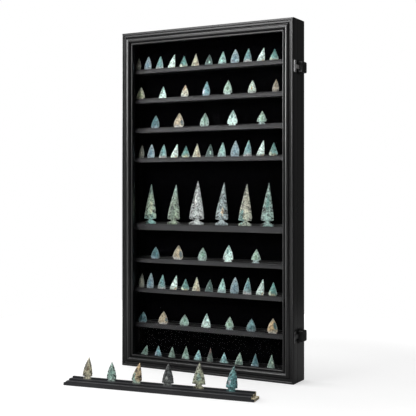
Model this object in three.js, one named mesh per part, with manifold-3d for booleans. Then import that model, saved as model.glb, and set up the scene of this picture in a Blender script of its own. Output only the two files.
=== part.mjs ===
// A shallow upright display case for stone points: a boarded case with grooved shelves, a glazed
// door with a moulded frame, two hinges on the left, two key locks on the right, and one shelf that
// has been taken out and lies on the floor in front.
// Millimetres. +X runs to the locks, +Y to the back, +Z up. The origin is the middle of the foot of
// the case, on the surface that it stands on.
import * as THREE from "three";
import { mergeVertices } from "three/addons/utils/BufferGeometryUtils.js";
import Module from "manifold-3d";

const wasm = await Module();
wasm.setup();

// Fits
const clearance = 0.3; // between two pieces that touch
const runningGap = 0.3; // between a pin or a lock core and its bore

// Case
const caseWidth = 405;
const boardThickness = 12;
const shelfDepth = 30.5;
const backThickness = 3;
const backRabbet = 5; // how far the back panel reaches behind each board
const feltThickness = 0.8;
const topBayHeight = 75; // from the underside of the top shelf to the top board
// From the underside of each shelf to the next, from the bottom. The slot after the fifth is empty.
const bayHeights = [71.2, 75.5, 64.5, 71, 82.5, 64, 64, 64, 64];
const emptySlot = 5;
const thickShelf = 4; // the shelf under the tall bay is a thicker one

// Shelves
const noseHeight = 9;
const ridgeHeight = 11;
const fenceHeight = 13;
const thickShelfExtraHeight = 4;
const noseWidth = 7;
const grooveWidth = 4;
const grooveDepth = 5.5; // below the middle ridge
const ridgeWidth = 10.5;
const noseRound = 1.2;
const tongueHeight = 5;
const dadoDepth = 6;

// Door
const doorThickness = 19;
const seam = 0.3; // between door and case
const sightWidth = 26; // of each frame member, seen from the front
// The frame's moulding from its outer edge inwards. Depths are taken from the front of the frame,
// and the ogee takes the width that the rest leaves.
const beadWidth = 6.2;
const beadDepth = 2.4; // at its two edges
const bandWidth = 4.4;
const bandDepth = 1.6;
const ogeeDepth = 4.4; // from its high edge to its low one
const sightBeadWidth = 4.2;
const sightBeadDepth = 6.5;
const sightChamfer = 0.6;
const quirkWidth = 1;
const quirkSlope = 0.2;
const quirkDepth = 1; // below the edge that it follows
const glassDepth = 11; // from the front of the frame to the glazing
const glassRabbet = 6;
const glassThickness = 2.5;
const stripWidth = 2;
const mitreGap = 0.2;

// Hinges
const hingeInset = 110; // from the top and bottom of the case to the middle of a hinge
const leafHeight = 38;
const leafWidth = 10;
const leafThickness = 1.2;
const knuckleRadius = 2.6;
const hingePinRadius = 1.2;
const pinHeadRadius = 2.1;
const pinHeadHeight = 1.4;

// Locks
const lockInset = 92; // from the top and bottom of the case to the middle of a lock
const upperLockDrop = 3.5; // the upper lock sits this much further in than the lower one
const plateThickness = 1.2;
const strikeHeight = 23.4;
const strikeWidth = 9;
const strikeSetback = 2; // behind the front of the door
const strikeLipRadius = 0.9;
const tongueWidth = 7.8;
const tongueThickness = 1.4;
const tongueLift = 0.6; // above the underside of the strike plate
const housingWidth = 22.4;
const housingHeight = 22;
const housingRise = 9.6; // how far the housing stands off the side
const housingRound = 4;
const flangeHeight = 29;
const flangeRound = 3;
const housingSetIn = 3.2; // from the seam to the front of the housing
const coreRadius = 5;
const coreProud = 0.5;
const keyway = { width: 1.2, height: 6, depth: 1.6 };
const boltThrow = 2; // the bolt pin turns on this radius
const boltRadius = 0.8;

// Screws
const screwHeadRadius = 1.4;
const screwHeadHeight = 0.7;
const screwShank = 0.8;
const screwLength = 6;

// Hangers
const hangerWidth = 44;
const hangerHeight = 10;
const hangerThickness = 1.2;
const hangerTeeth = 7;
const hangerToothDepth = 2.5;
const hangerDrop = 30; // below the top of the case
const hangerInset = 82.5; // from each side of the case to the middle of a hanger

// Stone points
const tallPoint = { thickness: 7, foot: 3, nearLeft: 42.5, nearRight: 58 };
const tallHeights = [88.5, 87.5, 95, 92.5, 88.5, 90.5];
const tallWidths = [34.5, 35, 40.5, 34, 35, 32.5];
const tallNudges = [0, 3, 3.5, 7.5, 6, 0];
const shortPoint = { thickness: 6, foot: 2.6, nearLeft: 40, nearRight: 52 };
const shortHeights = [47, 41, 43, 46, 52, 51];
const shortWidths = [22, 21.5, 22.5, 23.5, 25.5, 21];
const shortNudges = [0, -7, -13.5, -8, -5, 0];

// The loose shelf on the floor
const looseCorner = { x: -190.4, y: -218.9 }; // its front left corner, from the middle of the door's front
const looseTurn = THREE.MathUtils.degToRad(7.8);

// Worked out
const halfWidth = caseWidth / 2;
const innerWidth = caseWidth - 2 * boardThickness;
const halfInner = innerWidth / 2;
const bodyDepth = shelfDepth + feltThickness + backThickness + 3 * clearance;
const caseHeight = 2 * boardThickness + clearance + bayHeights.reduce((a, b) => a + b, 0) + topBayHeight;
const frontY = -(doorThickness + seam + bodyDepth) / 2;
const doorBackY = frontY + doorThickness;
const seamY = doorBackY + seam / 2;
const bodyFrontY = doorBackY + seam;
const bodyBackY = bodyFrontY + bodyDepth;
const panelFrontY = bodyBackY - backThickness;
const feltFrontY = panelFrontY - clearance - feltThickness;
const shelfFrontY = feltFrontY - clearance - shelfDepth;
const firstSlot = boardThickness + clearance;
const slots = bayHeights.reduce((list, height) => [...list, list.at(-1) + height], [firstSlot]);
const frontGrooveV = noseWidth;
const rearGrooveV = noseWidth + grooveWidth + ridgeWidth;

const paint = new THREE.MeshStandardMaterial({ color: 0x17181a, roughness: 0.45, metalness: 0 });
const felt = new THREE.MeshStandardMaterial({ color: 0x0b0b0c, roughness: 1, metalness: 0 });
const clear = new THREE.MeshStandardMaterial({ color: 0xf2f6f6, roughness: 0.05, transparent: true, opacity: 0.15 });
const blackMetal = new THREE.MeshStandardMaterial({ color: 0x1b1b1d, roughness: 0.35, metalness: 0.8 });
const steel = new THREE.MeshStandardMaterial({ color: 0x9a9b9d, roughness: 0.35, metalness: 1 });
const stones = [0x9aa79a, 0x8aa59b, 0xa3a9a4, 0x7f9298, 0xb0ad98, 0x6f9a92].map(
  (color) => new THREE.MeshStandardMaterial({ color, roughness: 0.55, metalness: 0 }),
);

const displayCase = new THREE.Group();

function add(name, geometry, material) {
  const mesh = new THREE.Mesh(geometry, material);
  mesh.name = name;
  displayCase.add(mesh);
  return mesh;
}

// Geometry helpers

function toSolid(geometry) {
  const loose = geometry.index ? geometry.toNonIndexed() : geometry;
  const bare = new THREE.BufferGeometry().setAttribute("position", loose.getAttribute("position"));
  const merged = mergeVertices(bare, 1e-4);
  return new wasm.Manifold(
    new wasm.Mesh({
      numProp: 3,
      vertProperties: merged.attributes.position.array,
      triVerts: new Uint32Array(merged.index.array),
    }),
  );
}

function toGeometry(solid) {
  const mesh = solid.getMesh();
  const geometry = new THREE.BufferGeometry();
  geometry.setAttribute("position", new THREE.BufferAttribute(mesh.vertProperties, 3));
  geometry.setIndex(new THREE.BufferAttribute(mesh.triVerts, 1));
  geometry.computeVertexNormals();
  return geometry;
}

function join(...pieces) {
  return toGeometry(pieces.map(toSolid).reduce((a, b) => a.add(b)));
}

function cut(piece, ...tools) {
  return toGeometry(tools.map(toSolid).reduce((a, b) => a.subtract(b), toSolid(piece)));
}

function block(x, y, z) {
  return new THREE.BoxGeometry(x[1] - x[0], y[1] - y[0], z[1] - z[0]).translate(
    (x[0] + x[1]) / 2,
    (y[0] + y[1]) / 2,
    (z[0] + z[1]) / 2,
  );
}

// A round bar along X or Z between two places on that axis.
function bar(axis, radius, span, at, sides = 16) {
  const geometry = new THREE.CylinderGeometry(radius, radius, span[1] - span[0], sides);
  const middle = (span[0] + span[1]) / 2;
  if (axis === "z") return geometry.rotateX(Math.PI / 2).translate(at[0], at[1], middle);
  return geometry.rotateZ(Math.PI / 2).translate(middle, at[0], at[1]);
}

// Sends the geometry's own x, y and z to three directions. A mirrored result has its faces turned back.
function lay(geometry, toX, toY, toZ, origin) {
  const matrix = new THREE.Matrix4().makeBasis(toX, toY, toZ).setPosition(origin);
  const placed = (geometry.index ? geometry.toNonIndexed() : geometry).applyMatrix4(matrix);
  if (matrix.determinant() > 0) return placed;
  const place = placed.getAttribute("position");
  for (let i = 0; i < place.count; i += 3) {
    const b = new THREE.Vector3().fromBufferAttribute(place, i + 1);
    const c = new THREE.Vector3().fromBufferAttribute(place, i + 2);
    place.setXYZ(i + 1, c.x, c.y, c.z);
    place.setXYZ(i + 2, b.x, b.y, b.z);
  }
  return placed;
}

const east = new THREE.Vector3(1, 0, 0);
const north = new THREE.Vector3(0, 1, 0);
const up = new THREE.Vector3(0, 0, 1);
const west = east.clone().negate();
const down = up.clone().negate();

// Case

const sideRabbet = backThickness + clearance;
const dadoBackY = feltFrontY;

function sideBoard(hand) {
  const outer = hand * halfWidth;
  const inner = hand * halfInner;
  const x = [Math.min(outer, inner), Math.max(outer, inner)];
  const board = block(x, [bodyFrontY, bodyBackY], [0, caseHeight]);
  const reach = (depth) => [inner, inner + hand * depth].sort((a, b) => a - b);
  const over = 1; // past the face that a cutter leaves
  const rabbet = block(
    [inner - hand * over, inner + hand * backRabbet].sort((a, b) => a - b),
    [bodyBackY - sideRabbet, bodyBackY + over],
    [boardThickness - backRabbet, caseHeight - boardThickness + backRabbet],
  );
  const dadoes = slots.map((z) =>
    block(
      [inner - hand * over, inner + hand * dadoDepth].sort((a, b) => a - b),
      [bodyFrontY - over, dadoBackY],
      [z - clearance, z + tongueHeight + clearance],
    ),
  );
  const pilots = hand > 0 ? lockHeights.flatMap((z) => housingScrews.map((s) => pilot(s.y, z + s.z))) : [];
  return cut(board, rabbet, ...dadoes, ...pilots);
}

function endBoard(z, inward) {
  const half = halfInner - clearance;
  const board = block([-half, half], [bodyFrontY, bodyBackY], z);
  const edge = inward > 0 ? z[1] : z[0];
  const rabbet = block(
    [-half - 1, half + 1],
    [bodyBackY - sideRabbet, bodyBackY + 1],
    [edge - inward * backRabbet, edge + inward].sort((a, b) => a - b),
  );
  return cut(board, rabbet);
}

// Screws in the right side, which the locks hold on by

const lockHeights = [caseHeight - lockInset - upperLockDrop, lockInset];
const lockY = seamY + housingSetIn + housingWidth / 2;
const strikeY = [frontY + strikeSetback, frontY + strikeSetback + strikeWidth];
const strikeScrews = [-1, 1].map((s) => ({
  y: (strikeY[0] + strikeY[1]) / 2 + strikeLipRadius / 2,
  z: s * (strikeHeight / 2 - screwHeadRadius - 1),
}));
const housingScrews = [-1, 1].map((s) => ({
  y: lockY,
  z: s * ((flangeHeight + housingHeight) / 4),
}));

function pilot(y, z) {
  const depth = screwLength + clearance - plateThickness;
  return bar("x", screwShank + runningGap, [halfWidth - depth, halfWidth + 1], [y, z], 8);
}

function screw(y, z) {
  const face = halfWidth + clearance + plateThickness;
  const head = face + clearance / 2;
  const outline = [
    [0, -screwLength],
    [screwShank, -screwLength + screwShank],
    [screwShank, 0],
    [screwHeadRadius, 0],
    [screwHeadRadius * 0.8, screwHeadHeight],
    [0, screwHeadHeight],
  ].map(([r, h]) => new THREE.Vector2(r, h));
  return new THREE.LatheGeometry(outline, 8).rotateZ(-Math.PI / 2).translate(head, y, z);
}

add("case_side_left", sideBoard(-1), paint);
add("case_side_right", sideBoard(1), paint);
add("case_bottom", endBoard([0, boardThickness], 1), paint);
add("case_top", endBoard([caseHeight - boardThickness, caseHeight], -1), paint);

const panelHalf = halfInner + backRabbet - clearance;
const panelZ = [boardThickness - backRabbet + clearance, caseHeight - boardThickness + backRabbet - clearance];
add("back_panel", block([-panelHalf, panelHalf], [panelFrontY, bodyBackY], panelZ), paint);
add(
  "back_lining",
  block(
    [-halfInner + clearance, halfInner - clearance],
    [feltFrontY, panelFrontY - clearance],
    [boardThickness + clearance, caseHeight - boardThickness - clearance],
  ),
  felt,
);

// Shelves

// The section of a shelf: a round nose, a groove, a wide ridge, a second groove and a tall fence.
function shelfSection(extra) {
  const rise = (height) => height + extra;
  const floor = rise(ridgeHeight) - grooveDepth;
  const section = new THREE.Shape();
  section.moveTo(0, 0);
  section.lineTo(shelfDepth, 0);
  section.lineTo(shelfDepth, rise(fenceHeight));
  let v = noseWidth + grooveWidth + ridgeWidth + grooveWidth;
  section.lineTo(v, rise(fenceHeight));
  section.lineTo(v, floor);
  v -= grooveWidth;
  section.lineTo(v, floor);
  section.lineTo(v, rise(ridgeHeight));
  v -= ridgeWidth;
  section.lineTo(v, rise(ridgeHeight));
  section.lineTo(v, floor);
  v -= grooveWidth;
  section.lineTo(v, floor);
  section.lineTo(v, rise(noseHeight));
  section.lineTo(noseRound, rise(noseHeight));
  section.quadraticCurveTo(0, rise(noseHeight), 0, rise(noseHeight) - noseRound);
  return section;
}

function shelf(extra) {
  const half = halfInner - clearance;
  const tip = halfInner + dadoDepth - clearance;
  const section = new THREE.ExtrudeGeometry(shelfSection(extra), {
    depth: 2 * tip,
    steps: 1,
    bevelEnabled: false,
    curveSegments: 3,
  });
  const plank = lay(section, north, up, east, new THREE.Vector3(-tip, 0, 0));
  const waste = (x) => block(x, [-1, shelfDepth + 1], [tongueHeight, fenceHeight + extra + 1]);
  return cut(plank, waste([-tip - 1, -half]), waste([half, tip + 1]));
}

const fitted = slots.map((z, i) => ({ z, i })).filter(({ i }) => i !== emptySlot);
fitted.reverse().forEach(({ z, i }, order) => {
  const plank = shelf(i === thickShelf ? thickShelfExtraHeight : 0);
  add("shelf_" + (order + 1), plank.translate(0, shelfFrontY, z), paint);
});

const looseGroup = new THREE.Group();
looseGroup.position.set(looseCorner.x, frontY + looseCorner.y, 0);
looseGroup.rotation.z = looseTurn;
displayCase.add(looseGroup);
const looseHalf = halfInner + dadoDepth - clearance;
const looseShelf = add("loose_shelf", shelf(0).translate(looseHalf, 0, 0), paint);
looseGroup.add(looseShelf);

// Door

// The frame's section, from its outer edge inwards and from its front back: a round bead, a flat
// band, an ogee that falls to the glass, and a small bead at the sight edge, with a quirk between.
function frameSection() {
  const section = new THREE.Shape();
  let u = 0;
  const round = (width, depth, bulge) => {
    section.bezierCurveTo(u + quirkSlope, depth - bulge, u + width - quirkSlope, depth - bulge, u + width, depth);
    u += width;
  };
  const quirk = (depth, next) => {
    section.lineTo(u + quirkSlope, depth + quirkDepth);
    section.lineTo(u + quirkWidth - quirkSlope, depth + quirkDepth);
    u += quirkWidth;
    section.lineTo(u, next);
  };
  section.moveTo(0, doorThickness);
  section.lineTo(0, beadDepth);
  round(beadWidth, beadDepth, (4 / 3) * beadDepth);
  quirk(beadDepth, bandDepth);
  u += bandWidth;
  section.lineTo(u, bandDepth);
  quirk(bandDepth, beadDepth);
  const ogeeEnd = sightWidth - sightChamfer - sightBeadWidth - quirkWidth;
  const ogeeWidth = ogeeEnd - u;
  const low = beadDepth + ogeeDepth;
  section.bezierCurveTo(u + ogeeWidth * 0.37, beadDepth - 1, u + ogeeWidth * 0.75, low - 3.6, ogeeEnd, low);
  u = ogeeEnd;
  quirk(low, sightBeadDepth);
  round(sightBeadWidth, sightBeadDepth, sightBeadWidth / 2);
  section.lineTo(sightWidth, glassDepth);
  section.lineTo(sightWidth - glassRabbet, glassDepth);
  section.lineTo(sightWidth - glassRabbet, doorThickness);
  return section;
}

function stripSection() {
  const outer = sightWidth - glassRabbet + clearance;
  const front = glassDepth + glassThickness + 2 * clearance;
  const back = doorThickness - clearance;
  const section = new THREE.Shape();
  section.moveTo(outer, front);
  section.lineTo(outer + stripWidth, front);
  section.lineTo(outer + stripWidth, back);
  section.lineTo(outer, back);
  return section;
}

// A length of the section with both ends cut at 45 degrees: a point u in from the outer edge stops
// u short of each end.
function mitred(section, length) {
  const geometry = new THREE.ExtrudeGeometry(section, {
    depth: 1,
    steps: 1,
    bevelEnabled: false,
    curveSegments: 6,
  });
  const place = geometry.getAttribute("position");
  for (let i = 0; i < place.count; i++) {
    const reach = length / 2 - place.getX(i) - mitreGap;
    place.setZ(i, (2 * place.getZ(i) - 1) * reach);
  }
  return geometry;
}

// The four members of a mitred frame, each as [name, geometry].
function frameOf(section) {
  const middle = caseHeight / 2;
  return [
    ["left", lay(mitred(section, caseHeight), east, north, up, new THREE.Vector3(-halfWidth, frontY, middle))],
    ["right", lay(mitred(section, caseHeight), west, north, up, new THREE.Vector3(halfWidth, frontY, middle))],
    ["bottom", lay(mitred(section, caseWidth), up, north, east, new THREE.Vector3(0, frontY, 0))],
    ["top", lay(mitred(section, caseWidth), down, north, east, new THREE.Vector3(0, frontY, caseHeight))],
  ];
}

for (const [side, geometry] of frameOf(frameSection())) {
  const upright = side === "left" || side === "right";
  const pilots = lockHeights.flatMap((z) => strikeScrews.map((s) => pilot(s.y, z + s.z)));
  const member = side === "right" ? cut(geometry, ...pilots) : geometry;
  add((upright ? "door_stile_" : "door_rail_") + side, member, paint);
}
for (const [side, geometry] of frameOf(stripSection())) {
  add("glazing_strip_" + side, geometry, paint);
}
const glassInset = sightWidth - glassRabbet + clearance;
const glassFrontY = frontY + glassDepth + clearance;
add(
  "door_glazing",
  block(
    [-halfWidth + glassInset, halfWidth - glassInset],
    [glassFrontY, glassFrontY + glassThickness],
    [glassInset, caseHeight - glassInset],
  ),
  clear,
);

// Hinges

const hingeX = -halfWidth - clearance - knuckleRadius;
const leafX = [-halfWidth - clearance - leafThickness, -halfWidth - clearance];
const knuckleLength = (leafHeight - 2 * clearance) / 3;

function hingeLeaf(z, hand, places) {
  const reach = knuckleRadius + clearance;
  const y = (near, far) => [seamY + hand * near, seamY + hand * far].sort((a, b) => a - b);
  const plate = block(leafX, y(reach, reach + leafWidth), [z - leafHeight / 2, z + leafHeight / 2]);
  const pieces = places.flatMap((place) => {
    const low = z - leafHeight / 2 + place * (knuckleLength + clearance);
    const span = [low, low + knuckleLength];
    return [block(leafX, y(0, reach + 1), span), bar("z", knuckleRadius, span, [hingeX, seamY])];
  });
  const past = leafHeight / 2 + 1;
  const bore = bar("z", hingePinRadius + runningGap, [z - past, z + past], [hingeX, seamY]);
  return cut(join(plate, ...pieces), bore);
}

function hingePin(z) {
  const shank = leafHeight / 2 + clearance;
  const end = shank + pinHeadHeight;
  const outline = [
    [0, -end],
    [pinHeadRadius * 0.7, -end],
    [pinHeadRadius, -shank],
    [hingePinRadius, -shank],
    [hingePinRadius, shank],
    [pinHeadRadius, shank],
    [pinHeadRadius * 0.7, end],
    [0, end],
  ].map(([r, h]) => new THREE.Vector2(r, h));
  return new THREE.LatheGeometry(outline, 12).rotateX(Math.PI / 2).translate(hingeX, seamY, z);
}

const hinges = { upper: caseHeight - hingeInset, lower: hingeInset };
for (const [place, z] of Object.entries(hinges)) {
  add(place + "_hinge_case_leaf", hingeLeaf(z, 1, [0, 2]), blackMetal);
  add(place + "_hinge_door_leaf", hingeLeaf(z, -1, [1]), blackMetal);
  add(place + "_hinge_pin", hingePin(z), blackMetal);
}

// Locks

// A rounded rectangle in Y and Z about the lock's middle, swept outwards along X.
function roundedPlate(width, height, round, from, thickness, bevel) {
  const w = width / 2;
  const h = height / 2;
  const outline = new THREE.Shape();
  outline.moveTo(-w + round, -h);
  outline.lineTo(w - round, -h);
  outline.absarc(w - round, -h + round, round, -Math.PI / 2, 0);
  outline.absarc(w - round, h - round, round, 0, Math.PI / 2);
  outline.absarc(-w + round, h - round, round, Math.PI / 2, Math.PI);
  outline.absarc(-w + round, -h + round, round, Math.PI, Math.PI * 1.5);
  const geometry = new THREE.ExtrudeGeometry(outline, {
    depth: thickness - 2 * bevel,
    bevelEnabled: bevel > 0,
    bevelThickness: bevel,
    bevelSize: bevel,
    bevelOffset: -bevel,
    bevelSegments: 2,
    curveSegments: 4,
  });
  return lay(geometry, north, up, east, new THREE.Vector3(from + bevel, 0, 0));
}

const plateX = halfWidth + clearance;
const tongueX = [plateX + tongueLift, plateX + tongueLift + tongueThickness];
const cutRadius = boltThrow + boltRadius + 0.2; // the room that the turning bolt needs
const tongueEndY = lockY + cutRadius + 1.6;
const channelX = tongueX[1] + clearance * 2;
const coreX = [channelX + clearance, plateX + housingRise + coreProud];
const bevel = 0.8;

function strikePlate(z) {
  const half = strikeHeight / 2;
  const plate = block([plateX, plateX + plateThickness], strikeY, [z - half, z + half]);
  const lip = bar(
    "z",
    strikeLipRadius,
    [z - half, z + half],
    [plateX + plateThickness, strikeY[0] + strikeLipRadius],
  );
  const tongue = block(tongueX, [strikeY[1] - 1, tongueEndY], [z - tongueWidth / 2, z + tongueWidth / 2]);
  const slotHalf = boltRadius + clearance;
  const through = [plateX - 1, tongueX[1] + 1];
  const notch = block(through, [lockY, tongueEndY + 1], [z - slotHalf, z + slotHalf]);
  const turn = bar("x", cutRadius, through, [lockY, z], 20);
  const holes = strikeScrews.map((s) => bar("x", screwShank + runningGap, through, [s.y, z + s.z], 8));
  return cut(join(plate, lip, tongue), notch, turn, ...holes);
}

function lockHousing(z) {
  const flange = roundedPlate(housingWidth, flangeHeight, flangeRound, plateX, plateThickness, 0);
  const body = roundedPlate(housingWidth, housingHeight, housingRound, plateX, housingRise, bevel);
  const whole = join(flange, body).translate(0, lockY, z);
  const mouth = tongueWidth / 2 + 2 * clearance;
  const channel = block(
    [plateX - 1, channelX],
    [lockY - housingWidth, tongueEndY + 2 * clearance],
    [z - mouth, z + mouth],
  );
  const bore = bar("x", coreRadius + runningGap, [channelX - 1, plateX + housingRise + 1], [lockY, z], 24);
  const holes = housingScrews.map((s) =>
    bar("x", screwShank + runningGap, [plateX - 1, plateX + plateThickness + 1], [s.y, z + s.z], 8),
  );
  return cut(whole, channel, bore, ...holes);
}

// The core turns a bolt pin that stands off its inner end, in the tongue's cut-out.
function lockCore(z) {
  const plug = bar("x", coreRadius, coreX, [lockY, z], 24);
  const bolt = bar("x", boltRadius, [plateX + tongueLift, coreX[0] + 1], [lockY, z - boltThrow], 8);
  const key = block(
    [coreX[1] - keyway.depth, coreX[1] + 1],
    [lockY - keyway.width / 2, lockY + keyway.width / 2],
    [z - keyway.height / 2, z + keyway.height / 2],
  );
  return cut(join(plug, bolt), key);
}

["upper", "lower"].forEach((place, i) => {
  const z = lockHeights[i];
  add(place + "_lock_strike", strikePlate(z), blackMetal);
  add(place + "_lock_housing", lockHousing(z), blackMetal);
  add(place + "_lock_core", lockCore(z), blackMetal);
  [...strikeScrews, ...housingScrews].forEach((s, n) => {
    const owner = n < strikeScrews.length ? "strike" : "housing";
    add(place + "_" + owner + "_screw_" + ((n % 2) + 1), screw(s.y, z + s.z), steel);
  });
});

// Hangers

function hanger(x) {
  const outline = new THREE.Shape();
  outline.moveTo(-hangerWidth / 2, hangerHeight);
  outline.lineTo(-hangerWidth / 2, 0);
  const pitch = (hangerWidth * 0.7) / hangerTeeth;
  const first = (-hangerTeeth * pitch) / 2;
  outline.lineTo(first, 0);
  for (let i = 0; i < hangerTeeth; i++) {
    outline.lineTo(first + (i + 0.5) * pitch, hangerToothDepth);
    outline.lineTo(first + (i + 1) * pitch, 0);
  }
  outline.lineTo(hangerWidth / 2, 0);
  outline.lineTo(hangerWidth / 2, hangerHeight);
  const plate = new THREE.ExtrudeGeometry(outline, { depth: hangerThickness, bevelEnabled: false });
  const place = new THREE.Vector3(x, bodyBackY + clearance, caseHeight - hangerDrop - hangerHeight);
  return lay(plate, east, up, north, place);
}

add("hanger_left", hanger(-halfWidth + hangerInset), steel);
add("hanger_right", hanger(halfWidth - hangerInset), steel);

// Stone points

// Rows of a point's outline from foot to tip: [share of the height, share of the half width].
const spearOutline = [
  [0, 0.78], [0.025, 0.86], [0.06, 0.5], [0.1, 0.38], [0.13, 0.88], [0.16, 1],
  [0.3, 0.96], [0.48, 0.84], [0.66, 0.64], [0.82, 0.4], [0.93, 0.19], [1, 0.03],
];
const notchedOutline = [
  [0, 0.74], [0.07, 0.84], [0.14, 0.5], [0.21, 0.48], [0.26, 0.92], [0.33, 1],
  [0.48, 0.88], [0.62, 0.72], [0.76, 0.52], [0.88, 0.3], [0.96, 0.13], [1, 0.04],
];

// A flaked stone point. Its foot stands in a groove whose front wall is at y = 0, and it leans back
// on the groove's rear wall, whose top is held above the foot. Each row of the outline is an
// eight-sided section: two sharp edges and two flats.
function stonePoint(height, width, { thickness, foot }, held, outline) {
  const sharp = 0.3;
  const lean = (grooveWidth - foot - 2 * clearance) / (held + 0.5);
  const start = held / height;
  const place = [];
  outline.forEach(([share, half]) => {
    const w = (half * width) / 2;
    const swell =
      THREE.MathUtils.smoothstep(share, start, start + 0.22) * (1 - THREE.MathUtils.smoothstep(share, 0.5, 1));
    const h = Math.min(foot / 2 + (swell * (thickness - foot)) / 2, Math.max(w * 0.8, sharp + 0.05));
    const z = height * share;
    const y = clearance + foot / 2 + lean * z;
    const flat = 0.45 * w;
    place.push([w, y - sharp, z], [w, y + sharp, z], [flat, y + h, z], [-flat, y + h, z]);
    place.push([-w, y + sharp, z], [-w, y - sharp, z], [-flat, y - h, z], [flat, y - h, z]);
  });
  const sides = 8;
  const index = [];
  for (let row = 0; row + 1 < outline.length; row++) {
    for (let i = 0; i < sides; i++) {
      const a = row * sides + i;
      const b = row * sides + ((i + 1) % sides);
      index.push(a, b, b + sides, a, b + sides, a + sides);
    }
  }
  const last = (outline.length - 1) * sides;
  for (let i = 1; i + 1 < sides; i++) {
    index.push(0, i + 1, i);
    index.push(last, last + i, last + i + 1);
  }
  const geometry = new THREE.BufferGeometry();
  geometry.setAttribute("position", new THREE.Float32BufferAttribute(place.flat(), 3));
  geometry.setIndex(index);
  geometry.computeVertexNormals();
  return geometry;
}

// Even places between two margins, each moved by its nudge.
function spread(from, to, nudges) {
  const pitch = (to - from) / (nudges.length - 1);
  return nudges.map((nudge, i) => from + i * pitch + nudge);
}

const footHeight = ridgeHeight - grooveDepth + clearance; // above the underside of a shelf
const tallFloor = slots[thickShelf] + thickShelfExtraHeight + footHeight;
const tallPlaces = spread(-halfInner + tallPoint.nearLeft, halfInner - tallPoint.nearRight, tallNudges);
tallPlaces.forEach((x, i) => {
  const held = ridgeHeight - footHeight;
  const stone = stonePoint(tallHeights[i], tallWidths[i], tallPoint, held, spearOutline);
  stone.translate(x, shelfFrontY + frontGrooveV, tallFloor);
  add("spear_point_" + (i + 1), stone, stones[i]);
});

const shortPlaces = spread(shortPoint.nearLeft, 2 * looseHalf - shortPoint.nearRight, shortNudges);
shortPlaces.forEach((x, i) => {
  const held = fenceHeight - footHeight;
  const stone = stonePoint(shortHeights[i], shortWidths[i], shortPoint, held, notchedOutline);
  stone.translate(x, rearGrooveV, footHeight);
  looseGroup.add(add("loose_point_" + (i + 1), stone, stones[i]));
});

export default displayCase;
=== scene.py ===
"""A shallow wall case for stone points, dressed over its frame: a painted case with grooved shelves,
a glazed door with a moulded frame, two hinges, two key locks and one shelf that lies in front.

Shapes are worked out in millimetres, in the frame's own axes: +X runs to the locks, +Y to the back
and +Z up. They become metres when they are put into a mesh."""

import math

import bmesh
import bpy
import numpy as np
from bpy.props import FloatProperty, FloatVectorProperty, IntProperty, PointerProperty
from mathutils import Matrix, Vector


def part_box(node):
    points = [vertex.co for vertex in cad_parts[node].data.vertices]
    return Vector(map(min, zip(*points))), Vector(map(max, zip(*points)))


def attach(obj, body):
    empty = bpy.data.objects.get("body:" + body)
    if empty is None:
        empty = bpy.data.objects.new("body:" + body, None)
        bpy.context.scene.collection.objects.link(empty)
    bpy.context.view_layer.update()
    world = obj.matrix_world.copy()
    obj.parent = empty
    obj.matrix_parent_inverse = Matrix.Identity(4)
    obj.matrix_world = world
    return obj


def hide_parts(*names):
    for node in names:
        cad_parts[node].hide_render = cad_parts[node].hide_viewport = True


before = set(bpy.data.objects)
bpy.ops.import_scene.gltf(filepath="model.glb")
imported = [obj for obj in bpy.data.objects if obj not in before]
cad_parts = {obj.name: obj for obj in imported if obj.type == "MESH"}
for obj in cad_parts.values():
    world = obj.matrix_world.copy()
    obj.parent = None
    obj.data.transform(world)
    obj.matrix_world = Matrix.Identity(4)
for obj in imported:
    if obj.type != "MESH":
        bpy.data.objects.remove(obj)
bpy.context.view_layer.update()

bl_info = {
    "name": "Point display case",
    "version": (1, 0, 0),
    "blender": (4, 5, 0),
    "location": "3D View > Sidebar > Display case",
    "description": "Dresses the frame of a display case for stone points",
    "category": "Object",
}

MM = 0.001

# Door frame, from its outer edge inwards; depths are behind its front
BEAD_WIDTH = 4.8
BEAD_DEPTH = 1.7
QUIRK_WIDTH = 0.8
QUIRK_SLOPE = 0.2
QUIRK_DEPTH = 2.0  # behind the foot of the bead
BAND_WIDTH = 3.6
BAND_DEPTH = 1.7
BAND_EASE = 0.7
RIDGE_START = 3.3
RIDGE_END = 5.6
RIDGE_TURN = 3.6, 3.2  # how far in from the ridge's sides its curve is pulled forwards
RIDGE_LIFT = -0.9, -1.6  # the depths that it is pulled to there
SIGHT_QUIRK = 0.3
SIGHT_QUIRK_DEPTH = 0.375
SIGHT_BEAD_WIDTH = 4.2
SIGHT_BEAD_DEPTH = 5.8
SIGHT_CHAMFER = 0.6
SIGHT_WIDTH = 26.0
GLASS_DEPTH = 11.0
GLASS_RABBET = 6.0
BACK_ROUND = 1.3
MITRE_EXTRA = 0.08  # how far the moulding passes the mitre of the plain member
CURVE_REACH = 4 / 3  # a bead's curve is pulled this much further than it comes
BEAD_STEPS = 13
RIDGE_STEPS = 21

# Shelves; heights are above the underside
NOSE_HEIGHT = 9.0
RIDGE_HEIGHT = 11.0
FENCE_HEIGHT = 13.0
NOSE_WIDTH = 7.0
GROOVE_WIDTH = 4.0
GROOVE_DEPTH = 5.5
RIDGE_WIDTH = 10.5
REAR_GROOVE = NOSE_WIDTH + GROOVE_WIDTH + RIDGE_WIDTH
NOSE_ROUND = 1.2
TONGUE_HEIGHT = 5.0
TONGUE_LENGTH = 6.0
SHELF_END = 3.0  # length of the last stretch before the tongue
THICK_SHELF = "shelf_5"
THICK_SHELF_EXTRA = 4.0
SHELVES = [f"shelf_{number}" for number in range(1, 10)]
FIT = 0.3

# Loose shelf
LOOSE_TURN = math.radians(7.8)
LOOSE_CORNER = (-190.4, -218.9)  # from the middle of the door's front
LOOSE_END = 5.0

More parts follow.
